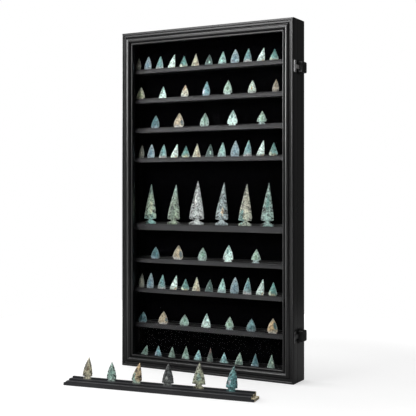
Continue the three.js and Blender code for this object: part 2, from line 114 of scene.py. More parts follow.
# Fasteners: the head's radius and height, the shank's radius and, where it is free, the length
LOCK_SCREW = (1.4, 0.7, 0.8)
HINGE_SCREW = (1.9, 0.7, 0.9, 4.0)
HINGE_SCREW_SEAT = 1.2  # how far the head stands out from the leaf's inner face
HINGE_SCREW_INSET = 4.6  # from the leaf's free edge
HINGE_SCREW_RISE = 12.0  # from the leaf's middle
PANEL_PIN = (1.6, 0.45, 0.7, 3.0)
PIN_INSET = 4.0  # from the back panel's edge
PINS_ACROSS = (4, 40.0)  # how many, and how far the outer ones are from the corners
PINS_UP = (5, 60.0)

# Widths of rounded edges, in metres
MOULDING_EASE = 0.0002
STRIP_EASE = 0.0004
SHELF_EASE = 0.00035
LOOSE_SHELF_EASE = 0.0004
HINGE_EASE = 0.00018
METAL_EASE = 0.0002

# Angles between faces, in degrees: above these an edge is sharp, is rounded, or is a real edge
BOARD_SHARP = 35.0
PROFILE_SHARP = 32.0
METAL_SHARP = 40.0
STONE_SHARP = 42.0
ROUNDED_FROM = 28.0
FLAT_BELOW = 1.0
MERGE = 1e-6

PLACES = ("upper", "lower")


def srgb(red, green, blue):
    """A colour of 0 to 255 as linear shares, by the usual curve with a straight foot."""
    shares = np.array([red, green, blue]) / 255
    linear = np.where(shares <= 0.04045, shares / 12.92, ((shares + 0.055) / 1.055) ** 2.4)
    return tuple(linear.tolist()) + (1.0,)


def box_mm(node):
    """The lowest and highest corner of a node, in millimetres."""
    low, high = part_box(node)
    return np.array(low) / MM, np.array(high) / MM


# Settings


def color_choice(name, description, color):
    """A colour that a user can change."""
    return FloatVectorProperty(
        name=name, description=description, subtype="COLOR", default=srgb(*color)[:3], min=0, max=1
    )


def power_choice(name, description, power):
    """The power of a lamp."""
    return FloatProperty(name=name, description=description, unit="POWER", default=power, min=0)


def level_choice(name, description, level):
    """A brightness that a user can change."""
    return FloatProperty(name=name, description=description, default=level, min=0)


def share_choice(name, description, share, most):
    """A share that a user can change."""
    return FloatProperty(
        name=name, description=description, subtype="FACTOR", default=share, min=0, max=most
    )


class CaseFinish(bpy.types.PropertyGroup):
    """Colours of the case's own finishes and the round of its edges."""

    paint_color: color_choice("Paint", "Colour of the black paint", (14, 14, 15))
    shelf_color: color_choice("Shelf paint", "Colour of the paint on the shelves", (39, 39, 41))
    felt_color: color_choice("Felt", "Colour of the lining", (4, 4, 5))
    wood_color: color_choice("Bare wood", "Colour of the wood where the paint ends", (252, 242, 212))
    paint_gloss: share_choice("Paint roughness", "Roughness of the paint", 0.29, 1)
    edge_round: FloatProperty(
        name="Eased edges", description="Radius of the sanded edges of the boards",
        subtype="DISTANCE", unit="LENGTH", default=0.0009, min=0, max=0.002,
    )


class StoneShape(bpy.types.PropertyGroup):
    """How the stone points are flaked."""

    flake_depth: share_choice("Flake depth", "Share of the thickness that a scar takes away", 0.42, 0.8)
    scallop: share_choice("Scallop", "Share of the half width that the edge is nibbled away", 0.06, 0.3)
    small_rows: IntProperty(
        name="Rows", description="Rows of the mesh on a small point", default=34, min=12, max=80,
    )
    seed: IntProperty(name="Seed", description="Start of the random flakes", default=11)


class StudioLight(bpy.types.PropertyGroup):
    """The lamps, the surroundings and the lens."""

    left_power: power_choice("Left softbox", "Power of the softbox on the left", 9.0)
    side_power: power_choice("Side softbox", "Power of the softbox straight to the left", 22.0)
    low_power: power_choice("Low softbox", "Power of the dim softbox low on the left", 5.0)
    top_power: power_choice("Top softbox", "Power of the softbox overhead", 22.0)
    front_power: power_choice("Front softbox", "Power of the softbox above the front", 8.0)
    fill_level: level_choice("Fill", "Strength of the even light from all round", 0.22)
    mirror_level: level_choice("Mirror level", "Brightness of the room in glossy surfaces", 0.06)
    table_level: level_choice("Table level", "Brightness of the table in glossy surfaces", 6.0)
    lens: FloatProperty(
        name="Lens", description="Focal length on a 36 mm wide sensor, in mm",
        default=78.06, min=1,
    )


GROUPS = {"case_finish": CaseFinish, "stone_shape": StoneShape, "studio_light": StudioLight}


# Node trees


class Graph:
    """Writes a node tree from left to right."""

    def __init__(self, tree):
        self.tree = tree

    def join(self, value, socket):
        """Links a socket, or sets a plain value."""
        if isinstance(value, bpy.types.NodeSocket):
            self.tree.links.new(value, socket)
        else:
            socket.default_value = value

    def node(self, kind, inputs=None, **traits):
        """A node of a kind, with its traits set and its inputs joined by name or place."""
        made = self.tree.nodes.new("ShaderNode" + kind)
        for key, value in traits.items():
            setattr(made, key, value)
        for key, value in (inputs or {}).items():
            self.join(value, made.inputs[key])
        return made

    def calc(self, operation, *values, clamp=False):
        """One step of arithmetic."""
        made = self.node("Math", dict(enumerate(values)), operation=operation, use_clamp=clamp)
        return made.outputs[0]

    def blend(self, factor, first, second):
        """Two colours mixed by a factor."""
        made = self.node("Mix", {0: factor, 6: first, 7: second}, data_type="RGBA")
        return made.outputs[2]

    def remap(self, value, low, high, to_low=0.0, to_high=1.0):
        """A value's range carried smoothly to another one."""
        made = self.node(
            "MapRange",
            {0: value, 1: low, 2: high, 3: to_low, 4: to_high},
            interpolation_type="SMOOTHSTEP",
        )
        return made.outputs[0]

    def noise(self, vector, scale, detail=2.0, roughness=0.5):
        """Cloud noise between 0 and 1 at a scale in cycles a metre."""
        made = self.node(
            "TexNoise",
            {"Vector": vector, "Scale": scale, "Detail": detail, "Roughness": roughness},
        )
        return made.outputs["Fac"]

    def place(self):
        """Object coordinates."""
        return self.node("TexCoord").outputs["Object"]


def shader_group(name, inputs, outputs, write):
    """A node group that is built once. inputs are (name, kind, value), outputs (name, kind), and
    write fills the tree from the inputs' sockets and returns one socket for each output."""
    if name in bpy.data.node_groups:
        return bpy.data.node_groups[name]
    tree = bpy.data.node_groups.new(name, "ShaderNodeTree")
    for label, kind, value in inputs:
        socket = tree.interface.new_socket(
            label, in_out="INPUT", socket_type="NodeSocket" + kind
        )
        socket.default_value = value
    for label, kind in outputs:
        tree.interface.new_socket(label, in_out="OUTPUT", socket_type="NodeSocket" + kind)
    entry = tree.nodes.new("NodeGroupInput")
    leave = tree.nodes.new("NodeGroupOutput")
    made = write(Graph(tree), entry.outputs)
    for (label, _), socket in zip(outputs, made):
        tree.links.new(socket, leave.inputs[label])
    return tree


def paint_group():
    """Rolled paint on sanded wood: a faint grain along the board, a pebbled skin and soft blotches."""

    def write(graph, given):
        place = graph.place()
        drawn = graph.node("Mapping", {"Vector": place, "Scale": given["Stretch"]}).outputs[0]
        grain = graph.noise(drawn, 420.0, 3.0, 0.6)
        skin = graph.noise(place, 900.0, 2.0)
        cloud = graph.noise(place, 9.0, 3.0)
        specks = graph.remap(graph.noise(place, 1600.0, 1.0), 0.7, 0.82)
        shade = graph.remap(cloud, 0.3, 0.7, 0.88, 1.12)
        toned = graph.node("VectorMath", {0: given["Color"], "Scale": shade}, operation="SCALE")
        streak = graph.remap(grain, 0.55, 0.8, 0.0, 0.2)
        color = graph.blend(streak, toned.outputs[0], given["Worn Color"])
        color = graph.blend(graph.calc("MULTIPLY", specks, given["Dust"]), color, given["Dust Color"])
        uneven = graph.calc("MULTIPLY", graph.calc("SUBTRACT", cloud, 0.5), 0.12)
        rough = graph.calc("ADD", given["Roughness"], uneven, clamp=True)
        height = graph.calc("ADD", graph.calc("MULTIPLY", grain, 0.6), graph.calc("MULTIPLY", skin, 0.4))
        return color, rough, height

    return shader_group(
        "Rolled paint",
        [
            ("Color", "Color", (0.01, 0.01, 0.01, 1)),
            ("Worn Color", "Color", (0.05, 0.05, 0.05, 1)),
            ("Dust Color", "Color", (0.2, 0.19, 0.18, 1)),
            ("Dust", "Float", 0.1),
            ("Stretch", "Vector", (1, 1, 1)),
            ("Roughness", "Float", 0.4),
        ],
        [("Color", "Color"), ("Roughness", "Float"), ("Height", "Float")],
        write,
    )


def grain_group():
    """Bare wood: bands of early and late wood across the end, broken by fine dark pores."""

    def write(graph, given):
        place = graph.place()
        drawn = graph.node("Mapping", {"Vector": place, "Scale": given["Stretch"]}).outputs[0]
        bands = graph.noise(drawn, 260.0, 3.0, 0.6)
        pores = graph.noise(drawn, 1500.0, 2.0, 0.7)
        color = graph.blend(graph.remap(bands, 0.42, 0.62), given["Light"], given["Middle"])
        marks = graph.remap(graph.noise(place, 330.0, 2.0), 0.56, 0.66)
        color = graph.blend(graph.calc("MULTIPLY", marks, 0.85), color, given["Dark"])
        color = graph.blend(graph.remap(pores, 0.6, 0.75, 0.0, 0.5), color, given["Dark"])
        return color, graph.calc("ADD", graph.calc("MULTIPLY", bands, 0.5), pores)

    return shader_group(
        "Bare wood",
        [
            ("Light", "Color", (0.7, 0.6, 0.4, 1)),
            ("Middle", "Color", (0.3, 0.22, 0.14, 1)),
            ("Dark", "Color", (0.06, 0.03, 0.02, 1)),
            ("Stretch", "Vector", (1, 1, 1)),
        ],
        [("Color", "Color"), ("Height", "Float")],
        write,
    )


def metal_group():
    """Handled metal: fine scratches in all directions and cloudy tarnish."""

    def write(graph, given):
        place = graph.place()
        cloud = graph.noise(place, 130.0, 3.0)
        fine = graph.noise(place, 2600.0, 2.0, 0.7)
        color = graph.blend(graph.remap(cloud, 0.4, 0.7), given["Color"], given["Worn Color"])
        uneven = graph.calc("MULTIPLY", graph.calc("SUBTRACT", cloud, 0.5), 0.35)
        rough = graph.calc("ADD", given["Roughness"], uneven, clamp=True)
        return color, rough, fine

    return shader_group(
        "Handled metal",
        [
            ("Color", "Color", (0.1, 0.1, 0.1, 1)),
            ("Worn Color", "Color", (0.3, 0.3, 0.3, 1)),
            ("Roughness", "Float", 0.4),
        ],
        [("Color", "Color"), ("Roughness", "Float"), ("Height", "Float")],
        write,
    )


def stone_group():
    """Flaked stone. The piece's own map gives the height share (red), the place across (green), the tone of
    each flake scar (blue) and the thin edges and ridges (alpha). Three colours follow each other from foot to
    tip over wavering borders, a patch takes a fourth and every scar has a tone of its own. The edges and the
    ridges between scars get a painted highlight, and the middle ridge a painted highlight with painted shade
    to its sides."""

    def write(graph, given):
        place = graph.place()
        map_node = graph.node("Attribute", attribute_name="stone_map")
        parts = graph.node("SeparateColor", {0: map_node.outputs["Color"]})
        share, across, tone = parts.outputs[0], parts.outputs[1], parts.outputs[2]
        painted_highlight = map_node.outputs["Alpha"]
        wander = graph.calc("SUBTRACT", graph.noise(place, 95.0, 3.0), 0.5)
        level = graph.calc("ADD", share, graph.calc("MULTIPLY", wander, 0.55))
        color = graph.blend(graph.remap(level, 0.1, 0.38), given["Low"], given["Middle"])
        color = graph.blend(graph.remap(level, 0.62, 0.95), color, given["High"])
        spot = graph.node("CombineXYZ", {0: across, 1: share, 2: 0.0}).outputs[0]
        gap = graph.node("VectorMath", {0: spot, 1: given["Patch Place"]}, operation="DISTANCE")
        reach = graph.calc("ADD", gap.outputs["Value"], graph.calc("MULTIPLY", wander, 0.4))
        inside = graph.calc("DIVIDE", reach, given["Patch Size"])
        color = graph.blend(graph.remap(inside, 1.15, 0.65), color, given["Patch"])
        cloud = graph.noise(place, 330.0, 3.0, 0.65)
        flecks = graph.calc("MULTIPLY", graph.remap(cloud, 0.42, 0.6), 0.5)
        mottle = graph.calc("ADD", graph.calc("MULTIPLY", tone, 0.5), flecks)
        # Painted light and shade: the middle ridge is lighter and its sides darker
        off = graph.calc("ABSOLUTE", graph.calc("SUBTRACT", across, 0.58))
        lit = graph.calc("MULTIPLY", graph.remap(off, 0.45, 0.05, -0.5, 0.5), given["Ridge Light"])
        swing = graph.calc("MULTIPLY", graph.calc("SUBTRACT", mottle, 0.5), given["Speckle"])
        toned = graph.node(
            "VectorMath",
            {0: color, "Scale": graph.calc("ADD", graph.calc("ADD", swing, lit), 1.0)},
            operation="SCALE",
        ).outputs[0]
        # Painted highlight on the thin edges, the tip and the ridges between scars
        color = graph.blend(graph.calc("MULTIPLY", painted_highlight, given["Edge Light"]), toned, given["Edge Color"])
        rough = graph.remap(mottle, 0.2, 0.8, 0.28, 0.5)
        height = graph.calc("ADD", graph.calc("MULTIPLY", cloud, 0.6), graph.noise(place, 1900.0, 2.0))
        return color, rough, height

    grey = (0.4, 0.4, 0.4, 1)
    return shader_group(
        "Flaked stone",
        [
            ("Low", "Color", grey),
            ("Middle", "Color", grey),
            ("High", "Color", grey),
            ("Patch", "Color", grey),
            ("Edge Color", "Color", (0.9, 0.95, 0.9, 1)),
            ("Patch Place", "Vector", (0.5, 0.5, 0)),
            ("Patch Size", "Float", 0.2),
            ("Speckle", "Float", 0.6),
            ("Edge Light", "Float", 0.4),
            ("Ridge Light", "Float", 0.2),
        ],
        [("Color", "Color"), ("Roughness", "Float"), ("Height", "Float")],
        write,
    )


def new_material(name):
    """A material, its graph and its Principled shader."""
    material = bpy.data.materials.new(name)
    material.use_nodes = True
    shader = material.node_tree.nodes["Principled BSDF"]
    return material, Graph(material.node_tree), shader


def place_group(graph, tree, values):
    """A group node with its own values."""
    made = graph.tree.nodes.new("ShaderNodeGroup")
    made.node_tree = tree
    for key, value in values.items():
        graph.join(value, made.inputs[key])
    return made


def bumped(graph, shader, height, strength, distance):
    """Sends a height to the shader's normal."""
    bump = graph.node("Bump", {"Height": height, "Strength": strength, "Distance": distance})
    graph.join(bump.outputs[0], shader.inputs["Normal"])


def surfaced(graph, shader, group, strength, distance):
    """Sends a group's colour, roughness and height to the shader."""
    graph.join(group.outputs["Color"], shader.inputs["Base Color"])
    graph.join(group.outputs["Roughness"], shader.inputs["Roughness"])
    bumped(graph, shader, group.outputs["Height"], strength, distance)


def opaque(color, gain=1.0, lift=0.0):
    """A colour times a gain plus a lift, with full alpha."""
    return [gain * share + lift for share in color[:3]] + [1]


# How much longer the paint's grain is along each axis
ALONG = {"x": (0.06, 1, 1), "y": (1, 0.06, 1), "z": (1, 1, 0.06)}
PAINT_WEAR = 1.8  # how much paler worn paint is
SHELF_FLATTER = 0.21  # how much rougher the shelves' paint is than the case's
LOOSE_FLATTER = 0.1
LOOSE_PAINTED_LIGHT = 2.1  # how much paler the loose shelf's paint is than the fitted ones': painted light, for the overhead light that it lies in outside the case
SHELF_FRONT = -0.0077  # in metres; from 1 to 3 mm behind it the shelves' paint darkens into painted shade, for the shade that falls on the shelves' tops
# painted shade: the share of the paint's colour that the shelves' tops keep
SHELF_PAINTED_SHADE = 0.25


def paint_material(name, color, stretch, roughness, shine):
    """Black paint over wood whose grain runs along the axis that stretch leaves long."""
    material, graph, shader = new_material(name)
    values = {
        "Color": opaque(color),
        "Worn Color": opaque(color, PAINT_WEAR, 0.003),
        "Dust": 0.06,
        "Stretch": stretch,
        "Roughness": roughness,
    }
    surfaced(graph, shader, place_group(graph, paint_group(), values), strength=0.1, distance=0.0002)
    shader.inputs["Specular IOR Level"].default_value = shine
    return material


def case_paint(axis):
    """The case's paint, with the grain along an axis."""
    name = "case_paint_" + axis
    if name in bpy.data.materials:
        return bpy.data.materials[name]
    finish = bpy.context.scene.case_finish
    return paint_material(name, finish.paint_color, ALONG[axis], finish.paint_gloss, 0.9)


def shelf_paint():
    """The shelves' paint, a little greyer and flatter than the case's, with painted shade on the tops behind
    the nose, where the shelf above shades them.
    """
    name = "shelf_paint"
    if name in bpy.data.materials:
        return bpy.data.materials[name]
    finish = bpy.context.scene.case_finish
    roughness = finish.paint_gloss + SHELF_FLATTER
    material = paint_material(name, finish.shelf_color, ALONG["x"], roughness, 0.3)
    graph = Graph(material.node_tree)
    socket = graph.tree.nodes["Principled BSDF"].inputs["Base Color"]
    painted = socket.links[0].from_socket
    # Painted shade: behind the nose the paint is darkened to stand for the shade on the shelves' tops
    back = graph.node("SeparateXYZ", {0: graph.place()}).outputs[1]
    behind = graph.remap(back, SHELF_FRONT + 0.001, SHELF_FRONT + 0.003)
    shaded_tops = graph.node("VectorMath", {0: painted, "Scale": SHELF_PAINTED_SHADE}, operation="SCALE").outputs[0]
    graph.join(graph.blend(behind, painted, shaded_tops), socket)
    return material


def worn_lit_shelf_paint():
    """The loose shelf: paint, painted paler than the fitted shelves' as painted light for the light that
    falls on it, that ends raggedly where the wood was left bare.
    """
    finish = bpy.context.scene.case_finish
    material, graph, shader = new_material("loose_shelf_paint")
    # Painted light: the loose shelf's paint is the fitted shelves' made paler for the light that it lies in
    color = opaque(finish.shelf_color, LOOSE_PAINTED_LIGHT)
    paint_values = {
        "Color": color,
        "Worn Color": opaque(color, PAINT_WEAR),
        "Dust": 0.2,
        "Stretch": ALONG["x"],
        "Roughness": finish.paint_gloss + LOOSE_FLATTER,
    }
    wood_values = {
        "Light": opaque(finish.wood_color),
        "Middle": srgb(196, 178, 148),
        "Dark": srgb(52, 38, 28),
        "Stretch": (0.5, 1, 0.6),
    }
    paint = place_group(graph, paint_group(), paint_values)
    wood = place_group(graph, grain_group(), wood_values)
    bare = graph.node("Attribute", attribute_name="bare").outputs["Fac"]
    ragged = graph.calc("SUBTRACT", graph.noise(graph.place(), 520.0, 3.0), 0.5)
    mask = graph.remap(graph.calc("ADD", bare, graph.calc("MULTIPLY", ragged, 0.9)), 0.42, 0.58)
    mixed = graph.blend(mask, paint.outputs["Color"], wood.outputs["Color"])
    graph.join(mixed, shader.inputs["Base Color"])
    rough = graph.calc("ADD", paint.outputs["Roughness"], graph.calc("MULTIPLY", mask, 0.3))
    graph.join(rough, shader.inputs["Roughness"])
    bumped(graph, shader, paint.outputs["Height"], strength=0.25, distance=0.0002)
    return material


def felt_material():
    """Black felt: matted fibres over soft clouds."""
    material, graph, shader = new_material("lining_felt")
    place = graph.place()
    fibres = graph.noise(place, 2200.0, 4.0, 0.7)
    cloud = graph.noise(place, 30.0, 3.0)
    felt = bpy.context.scene.case_finish.felt_color
    mixed = graph.blend(graph.remap(fibres, 0.45, 0.8), opaque(felt), opaque(felt, 2.2))
    mixed = graph.blend(graph.remap(cloud, 0.3, 0.7, 0.0, 0.4), mixed, opaque(felt))
    graph.join(mixed, shader.inputs["Base Color"])
    shader.inputs["Roughness"].default_value = 1.0
    shader.inputs["Specular IOR Level"].default_value = 0.0
    bumped(graph, shader, fibres, strength=0.05, distance=0.0004)
    return material


def sheet_material():
    """Clear sheet that lamps shine through."""
    material, graph, shader = new_material("clear_sheet")
    shader.inputs["Base Color"].default_value = (1, 1, 1, 1)
    shader.inputs["Transmission Weight"].default_value = 1.0
    shader.inputs["IOR"].default_value = 1.06
    smears = graph.remap(graph.noise(graph.place(), 14.0, 3.0), 0.35, 0.75, 0.0, 0.015)
    graph.join(smears, shader.inputs["Roughness"])
    through = graph.node("BsdfTransparent", {"Color": (1, 1, 1, 1)})
    shadow = graph.node("LightPath").outputs["Is Shadow Ray"]
    mix = graph.node("MixShader", {0: shadow, 1: shader.outputs[0], 2: through.outputs[0]})
    graph.join(mix.outputs[0], graph.tree.nodes["Material Output"].inputs["Surface"])
    return material


# Colour, worn colour, roughness and how metallic it is. The plain steel is on screws, pins and hangers. The
# two strike plates are the same steel: the pale, half matt one on the upper strike plate is a painted
# reflection of the light that it catches, and the dark one on the lower strike plate is painted shade
METALS = {
    "plain_steel": ((150, 150, 152), (178, 176, 172), 0.34, 1.0),
    "plated_steel": ((226, 226, 228), (206, 204, 200), 0.3, 0.3),
    "dull_steel": ((70, 70, 72), (130, 130, 130), 0.45, 0.3),
}


def metal(name):
    """A metal by its name. The locks' and hinges' black metal comes with the frame."""
    if name in bpy.data.materials:
        return bpy.data.materials[name]
    color, worn, roughness, metallic = METALS[name]
    material, graph, shader = new_material(name)
    values = {"Color": srgb(*color), "Worn Color": srgb(*worn), "Roughness": roughness}
    surfaced(graph, shader, place_group(graph, metal_group(), values), strength=0.15, distance=0.0001)
    shader.inputs["Metallic"].default_value = metallic
    return material


# Colours of the stones, from foot to tip, then the patch, its place (across, up) and its size
STONES = {
    "olive": ((96, 100, 94), (112, 116, 104), (82, 86, 76), (170, 172, 156), (0.6, 0.45), 0.12),
    "lavender": ((120, 136, 142), (126, 150, 158), (150, 172, 174), (92, 128, 142), (0.5, 0.4), 0.2),
    "teal_rose": ((146, 146, 142), (110, 152, 150), (118, 160, 156), (84, 132, 134), (0.5, 0.55), 0.2),
    "aqua": ((170, 184, 170), (200, 220, 212), (176, 204, 196), (190, 170, 132), (0.8, 0.1), 0.14),
    "teal_cream": ((146, 142, 114), (82, 130, 124), (68, 118, 116), (190, 200, 176), (0.2, 0.16), 0.18),
    "khaki": ((158, 160, 142), (180, 178, 152), (162, 162, 142), (150, 140, 116), (0.8, 0.2), 0.22),
    "bottle": ((62, 78, 78), (54, 84, 78), (66, 94, 88), (150, 184, 170), (0.62, 0.38), 0.1),
    "sea": ((120, 138, 138), (148, 188, 180), (122, 160, 152), (104, 142, 138), (0.6, 0.6), 0.18),
    "slate": ((110, 130, 138), (122, 148, 156), (146, 164, 168), (84, 116, 128), (0.5, 0.42), 0.18),
    "blue_rose": ((148, 144, 144), (104, 146, 148), (118, 158, 154), (82, 130, 136), (0.5, 0.62), 0.2),
    "mint_tan": ((130, 144, 136), (198, 220, 212), (188, 208, 202), (180, 160, 122), (0.85, 0.12), 0.16),
    "green_cream": ((132, 128, 104), (84, 130, 124), (68, 122, 118), (176, 190, 168), (0.15, 0.25), 0.18),
    "steel_blue": ((112, 130, 140), (64, 108, 114), (66, 100, 102), (46, 82, 90), (0.5, 0.5), 0.2),
    "tan_silver": ((168, 166, 160), (158, 146, 120), (124, 116, 90), (70, 88, 90), (0.85, 0.42), 0.22),
    "mint_green": ((122, 138, 132), (132, 162, 150), (100, 122, 106), (80, 116, 98), (0.55, 0.62), 0.18),
    "pale_mint": ((192, 212, 204), (188, 216, 208), (128, 160, 152), (84, 124, 118), (0.42, 0.66), 0.16),
    "green_aqua": ((132, 150, 150), (146, 176, 160), (118, 138, 122), (92, 120, 98), (0.5, 0.5), 0.16),
    "cream_green": ((164, 162, 136), (186, 192, 162), (186, 190, 172), (128, 146, 112), (0.5, 0.5), 0.18),
    "tan_aqua": ((140, 148, 144), (190, 190, 170), (176, 154, 122), (168, 126, 84), (0.35, 0.75), 0.2),
    "turquoise": ((96, 118, 126), (104, 152, 160), (92, 128, 130), (176, 184, 198), (0.15, 0.4), 0.22),
    "mint_rust": ((110, 118, 112), (176, 192, 178), (172, 186, 172), (160, 132, 94), (0.5, 0.45), 0.13),
    "brown": ((94, 92, 90), (142, 134, 114), (140, 126, 98), (96, 84, 68), (0.5, 0.6), 0.18),
    "orange_teal": ((150, 150, 142), (178, 152, 110), (134, 122, 92), (60, 94, 94), (0.85, 0.5), 0.26),
    "dark_teal": ((90, 102, 108), (76, 114, 116), (76, 116, 118), (52, 88, 92), (0.5, 0.45), 0.18),
    "sky": ((120, 146, 142), (136, 180, 180), (142, 184, 184), (96, 144, 154), (0.6, 0.6), 0.18),
    "sage": ((96, 112, 104), (112, 138, 126), (120, 148, 134), (176, 190, 174), (0.75, 0.45), 0.12),
    "red_tip": ((74, 84, 80), (68, 82, 76), (128, 88, 78), (120, 130, 120), (0.3, 0.2), 0.14),
    "spear_teal": ((96, 132, 126), (124, 142, 124), (112, 138, 130), (140, 146, 124), (0.6, 0.45), 0.16),
    "spear_olive": ((104, 118, 100), (118, 134, 118), (140, 166, 158), (82, 96, 84), (0.4, 0.3), 0.2),
    "spear_grey": ((136, 142, 140), (142, 148, 146), (146, 150, 148), (186, 188, 184), (0.35, 0.5), 0.16),
    "spear_silver": ((120, 132, 134), (118, 132, 132), (132, 144, 142), (170, 150, 122), (0.6, 0.35), 0.12),
    "spear_cream": ((124, 134, 120), (148, 148, 132), (144, 146, 134), (92, 128, 122), (0.2, 0.25), 0.2),
    "spear_green": ((112, 136, 130), (118, 142, 134), (120, 140, 132), (78, 116, 108), (0.5, 0.6), 0.18),
    "loose_khaki": ((176, 172, 150), (166, 162, 138), (184, 180, 160), (112, 92, 70), (0.55, 0.55), 0.16),
    "loose_mint": ((164, 186, 176), (152, 182, 170), (160, 184, 174), (112, 146, 136), (0.5, 0.5), 0.18),
    "loose_tan": ((160, 180, 166), (188, 170, 138), (200, 172, 130), (152, 178, 164), (0.15, 0.3), 0.24),
    "loose_dark": ((96, 100, 98), (84, 88, 88), (96, 100, 98), (150, 152, 148), (0.4, 0.45), 0.1),
    "loose_olive": ((176, 174, 146), (170, 176, 152), (184, 186, 166), (138, 164, 152), (0.5, 0.5), 0.18),
    "loose_turquoise": ((110, 158, 158), (104, 154, 156), (120, 166, 164), (164, 176, 182), (0.3, 0.4), 0.16),
}


# Speckle, the painted highlight on the edges and the painted light and shade across the middle ridge, on
# large and on small points
LARGE_LOOK = (2.3, 0.2, 0.7)
SMALL_LOOK = (1.4, 0.45, 0.25)


def stone_material(kind):
    """The material of one kind of stone; its edges are a paler tone of its middle colour, put on as a painted
    highlight.
    """
    name = "stone_" + kind
    if name in bpy.data.materials:
        return bpy.data.materials[name]
    low, middle, high, patch, spot, size = STONES[kind]
    material, graph, shader = new_material(name)
    pale = [min(255, 0.45 * share + 145) for share in middle]
    large = kind.startswith(("spear", "loose"))
    speckle, edge_light, ridge_light = LARGE_LOOK if large else SMALL_LOOK
    values = {
        "Low": srgb(*low),
        "Middle": srgb(*middle),
        "High": srgb(*high),
        "Patch": srgb(*patch),
        "Edge Color": srgb(*pale),
        "Patch Place": (*spot, 0),
        "Patch Size": size,
        "Speckle": speckle,
        "Edge Light": edge_light,
        "Ridge Light": ridge_light,
    }
    surfaced(graph, shader, place_group(graph, stone_group(), values), strength=0.5, distance=0.0007)
    return material


# Meshes


def grid_faces(rows, columns, around=False):
    """The corners of each square of a grid of points, row by row; around joins the last column to
    the first."""
    steps = columns if around else columns - 1
    row, column = np.meshgrid(np.arange(rows - 1), np.arange(steps), indexing="ij")
    following = (column + 1) % columns
    corners = (
        row * columns + column,
        row * columns + following,
        (row + 1) * columns + following,
        (row + 1) * columns + column,
    )
    return np.stack(corners, -1).reshape(-1, 4)


def tube_faces(rings, count):
    """The corners of the faces of a closed tube: its squares and its two ends."""
    ends = [list(range(count)), list(range((rings - 1) * count, rings * count))]
    return grid_faces(rings, count, around=True).tolist() + ends


def raw_mesh(name, points, faces):
    """A mesh from points in millimetres and lists of corners."""
    mesh = bpy.data.meshes.new(name)
    mesh.from_pydata((points * MM).tolist(), [], faces)
    return mesh


def shaded(name, mesh, material, sharp):
    """Puts a mesh on an object at the origin: smooth, with an edge where faces meet steeply."""
    mesh.polygons.foreach_set("use_smooth", [True] * len(mesh.polygons))
    mesh.set_sharp_from_angle(angle=math.radians(sharp))
    mesh.materials.clear()
    mesh.materials.append(material)
    piece = bpy.data.objects.new(name, mesh)
    bpy.context.scene.collection.objects.link(piece)
    return piece


def finish_mesh(name, mesh, material, sharp):
    """Merges a mesh's doubles, turns its faces outwards and puts it on an object."""
    body = bmesh.new()
    body.from_mesh(mesh)
    bmesh.ops.remove_doubles(body, verts=body.verts, dist=MERGE)
    bmesh.ops.dissolve_degenerate(body, edges=body.edges, dist=MERGE)
    bmesh.ops.recalc_face_normals(body, faces=body.faces)
    body.to_mesh(mesh)
    body.free()
    return shaded(name, mesh, material, sharp)


def mesh_piece(name, points, faces, material, sharp):
    """A finished piece from points in millimetres and lists of corners."""
    return finish_mesh(name, raw_mesh(name, points, faces), material, sharp)


def eased(piece, width, angle=ROUNDED_FROM):
    """Rounds a piece's edges with a Bevel modifier, and keeps its flats flat."""
    bevel = piece.modifiers.new("Eased edges", "BEVEL")
    bevel.width = width
    bevel.segments = 2
    bevel.limit_method = "ANGLE"
    bevel.angle_limit = math.radians(angle)
    bevel.harden_normals = True
    return piece


def settle(piece, body, slot, *nodes):
    """Says which body a piece rides on and the nodes that it stands for. Its finish, slot, is not used."""
    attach(piece, body)
    if nodes:
        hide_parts(*nodes)


def dress_node(node, suffix, body, slot, material, width, sharp=BOARD_SHARP):
    """Stands a copy of a node's mesh, merged into clean faces and eased, in the node's place."""
    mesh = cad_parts[node].data.copy()
    shell = bmesh.new()
    shell.from_mesh(mesh)
    bmesh.ops.remove_doubles(shell, verts=shell.verts, dist=MERGE)
    flat = math.radians(FLAT_BELOW)
    bmesh.ops.dissolve_limit(shell, angle_limit=flat, verts=shell.verts, edges=shell.edges)
    shell.to_mesh(mesh)
    shell.free()
    piece = finish_mesh(node + suffix, mesh, material, sharp)
    settle(eased(piece, width) if width else piece, body, slot, node)


def paint_node(node, material):
    """Gives a node's own mesh its material."""
    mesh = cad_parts[node].data
    mesh.materials.clear()
    mesh.materials.append(material)


def bezier(start, first, second, end, count):
    """Points on a cubic curve: its four points weighted by (1-t)^3, 3t(1-t)^2, 3t^2(1-t), t^3."""
    t = np.linspace(0, 1, count)[:, None]
    weights = ((1 - t) ** 3, 3 * t * (1 - t) ** 2, 3 * t**2 * (1 - t), t**3)
    return sum(w * np.array(p) for w, p in zip(weights, (start, first, second, end)))


def rounded(radius, height, count):
    """A quarter circle from (radius, height) to (0, height - radius): (r (1 - sin a), h - r (1 -
    cos a)) for a from 0 to 90 degrees."""
    turn = np.linspace(0, math.pi / 2, count)
    return np.stack([radius * (1 - np.sin(turn)), height - radius * (1 - np.cos(turn))], -1)


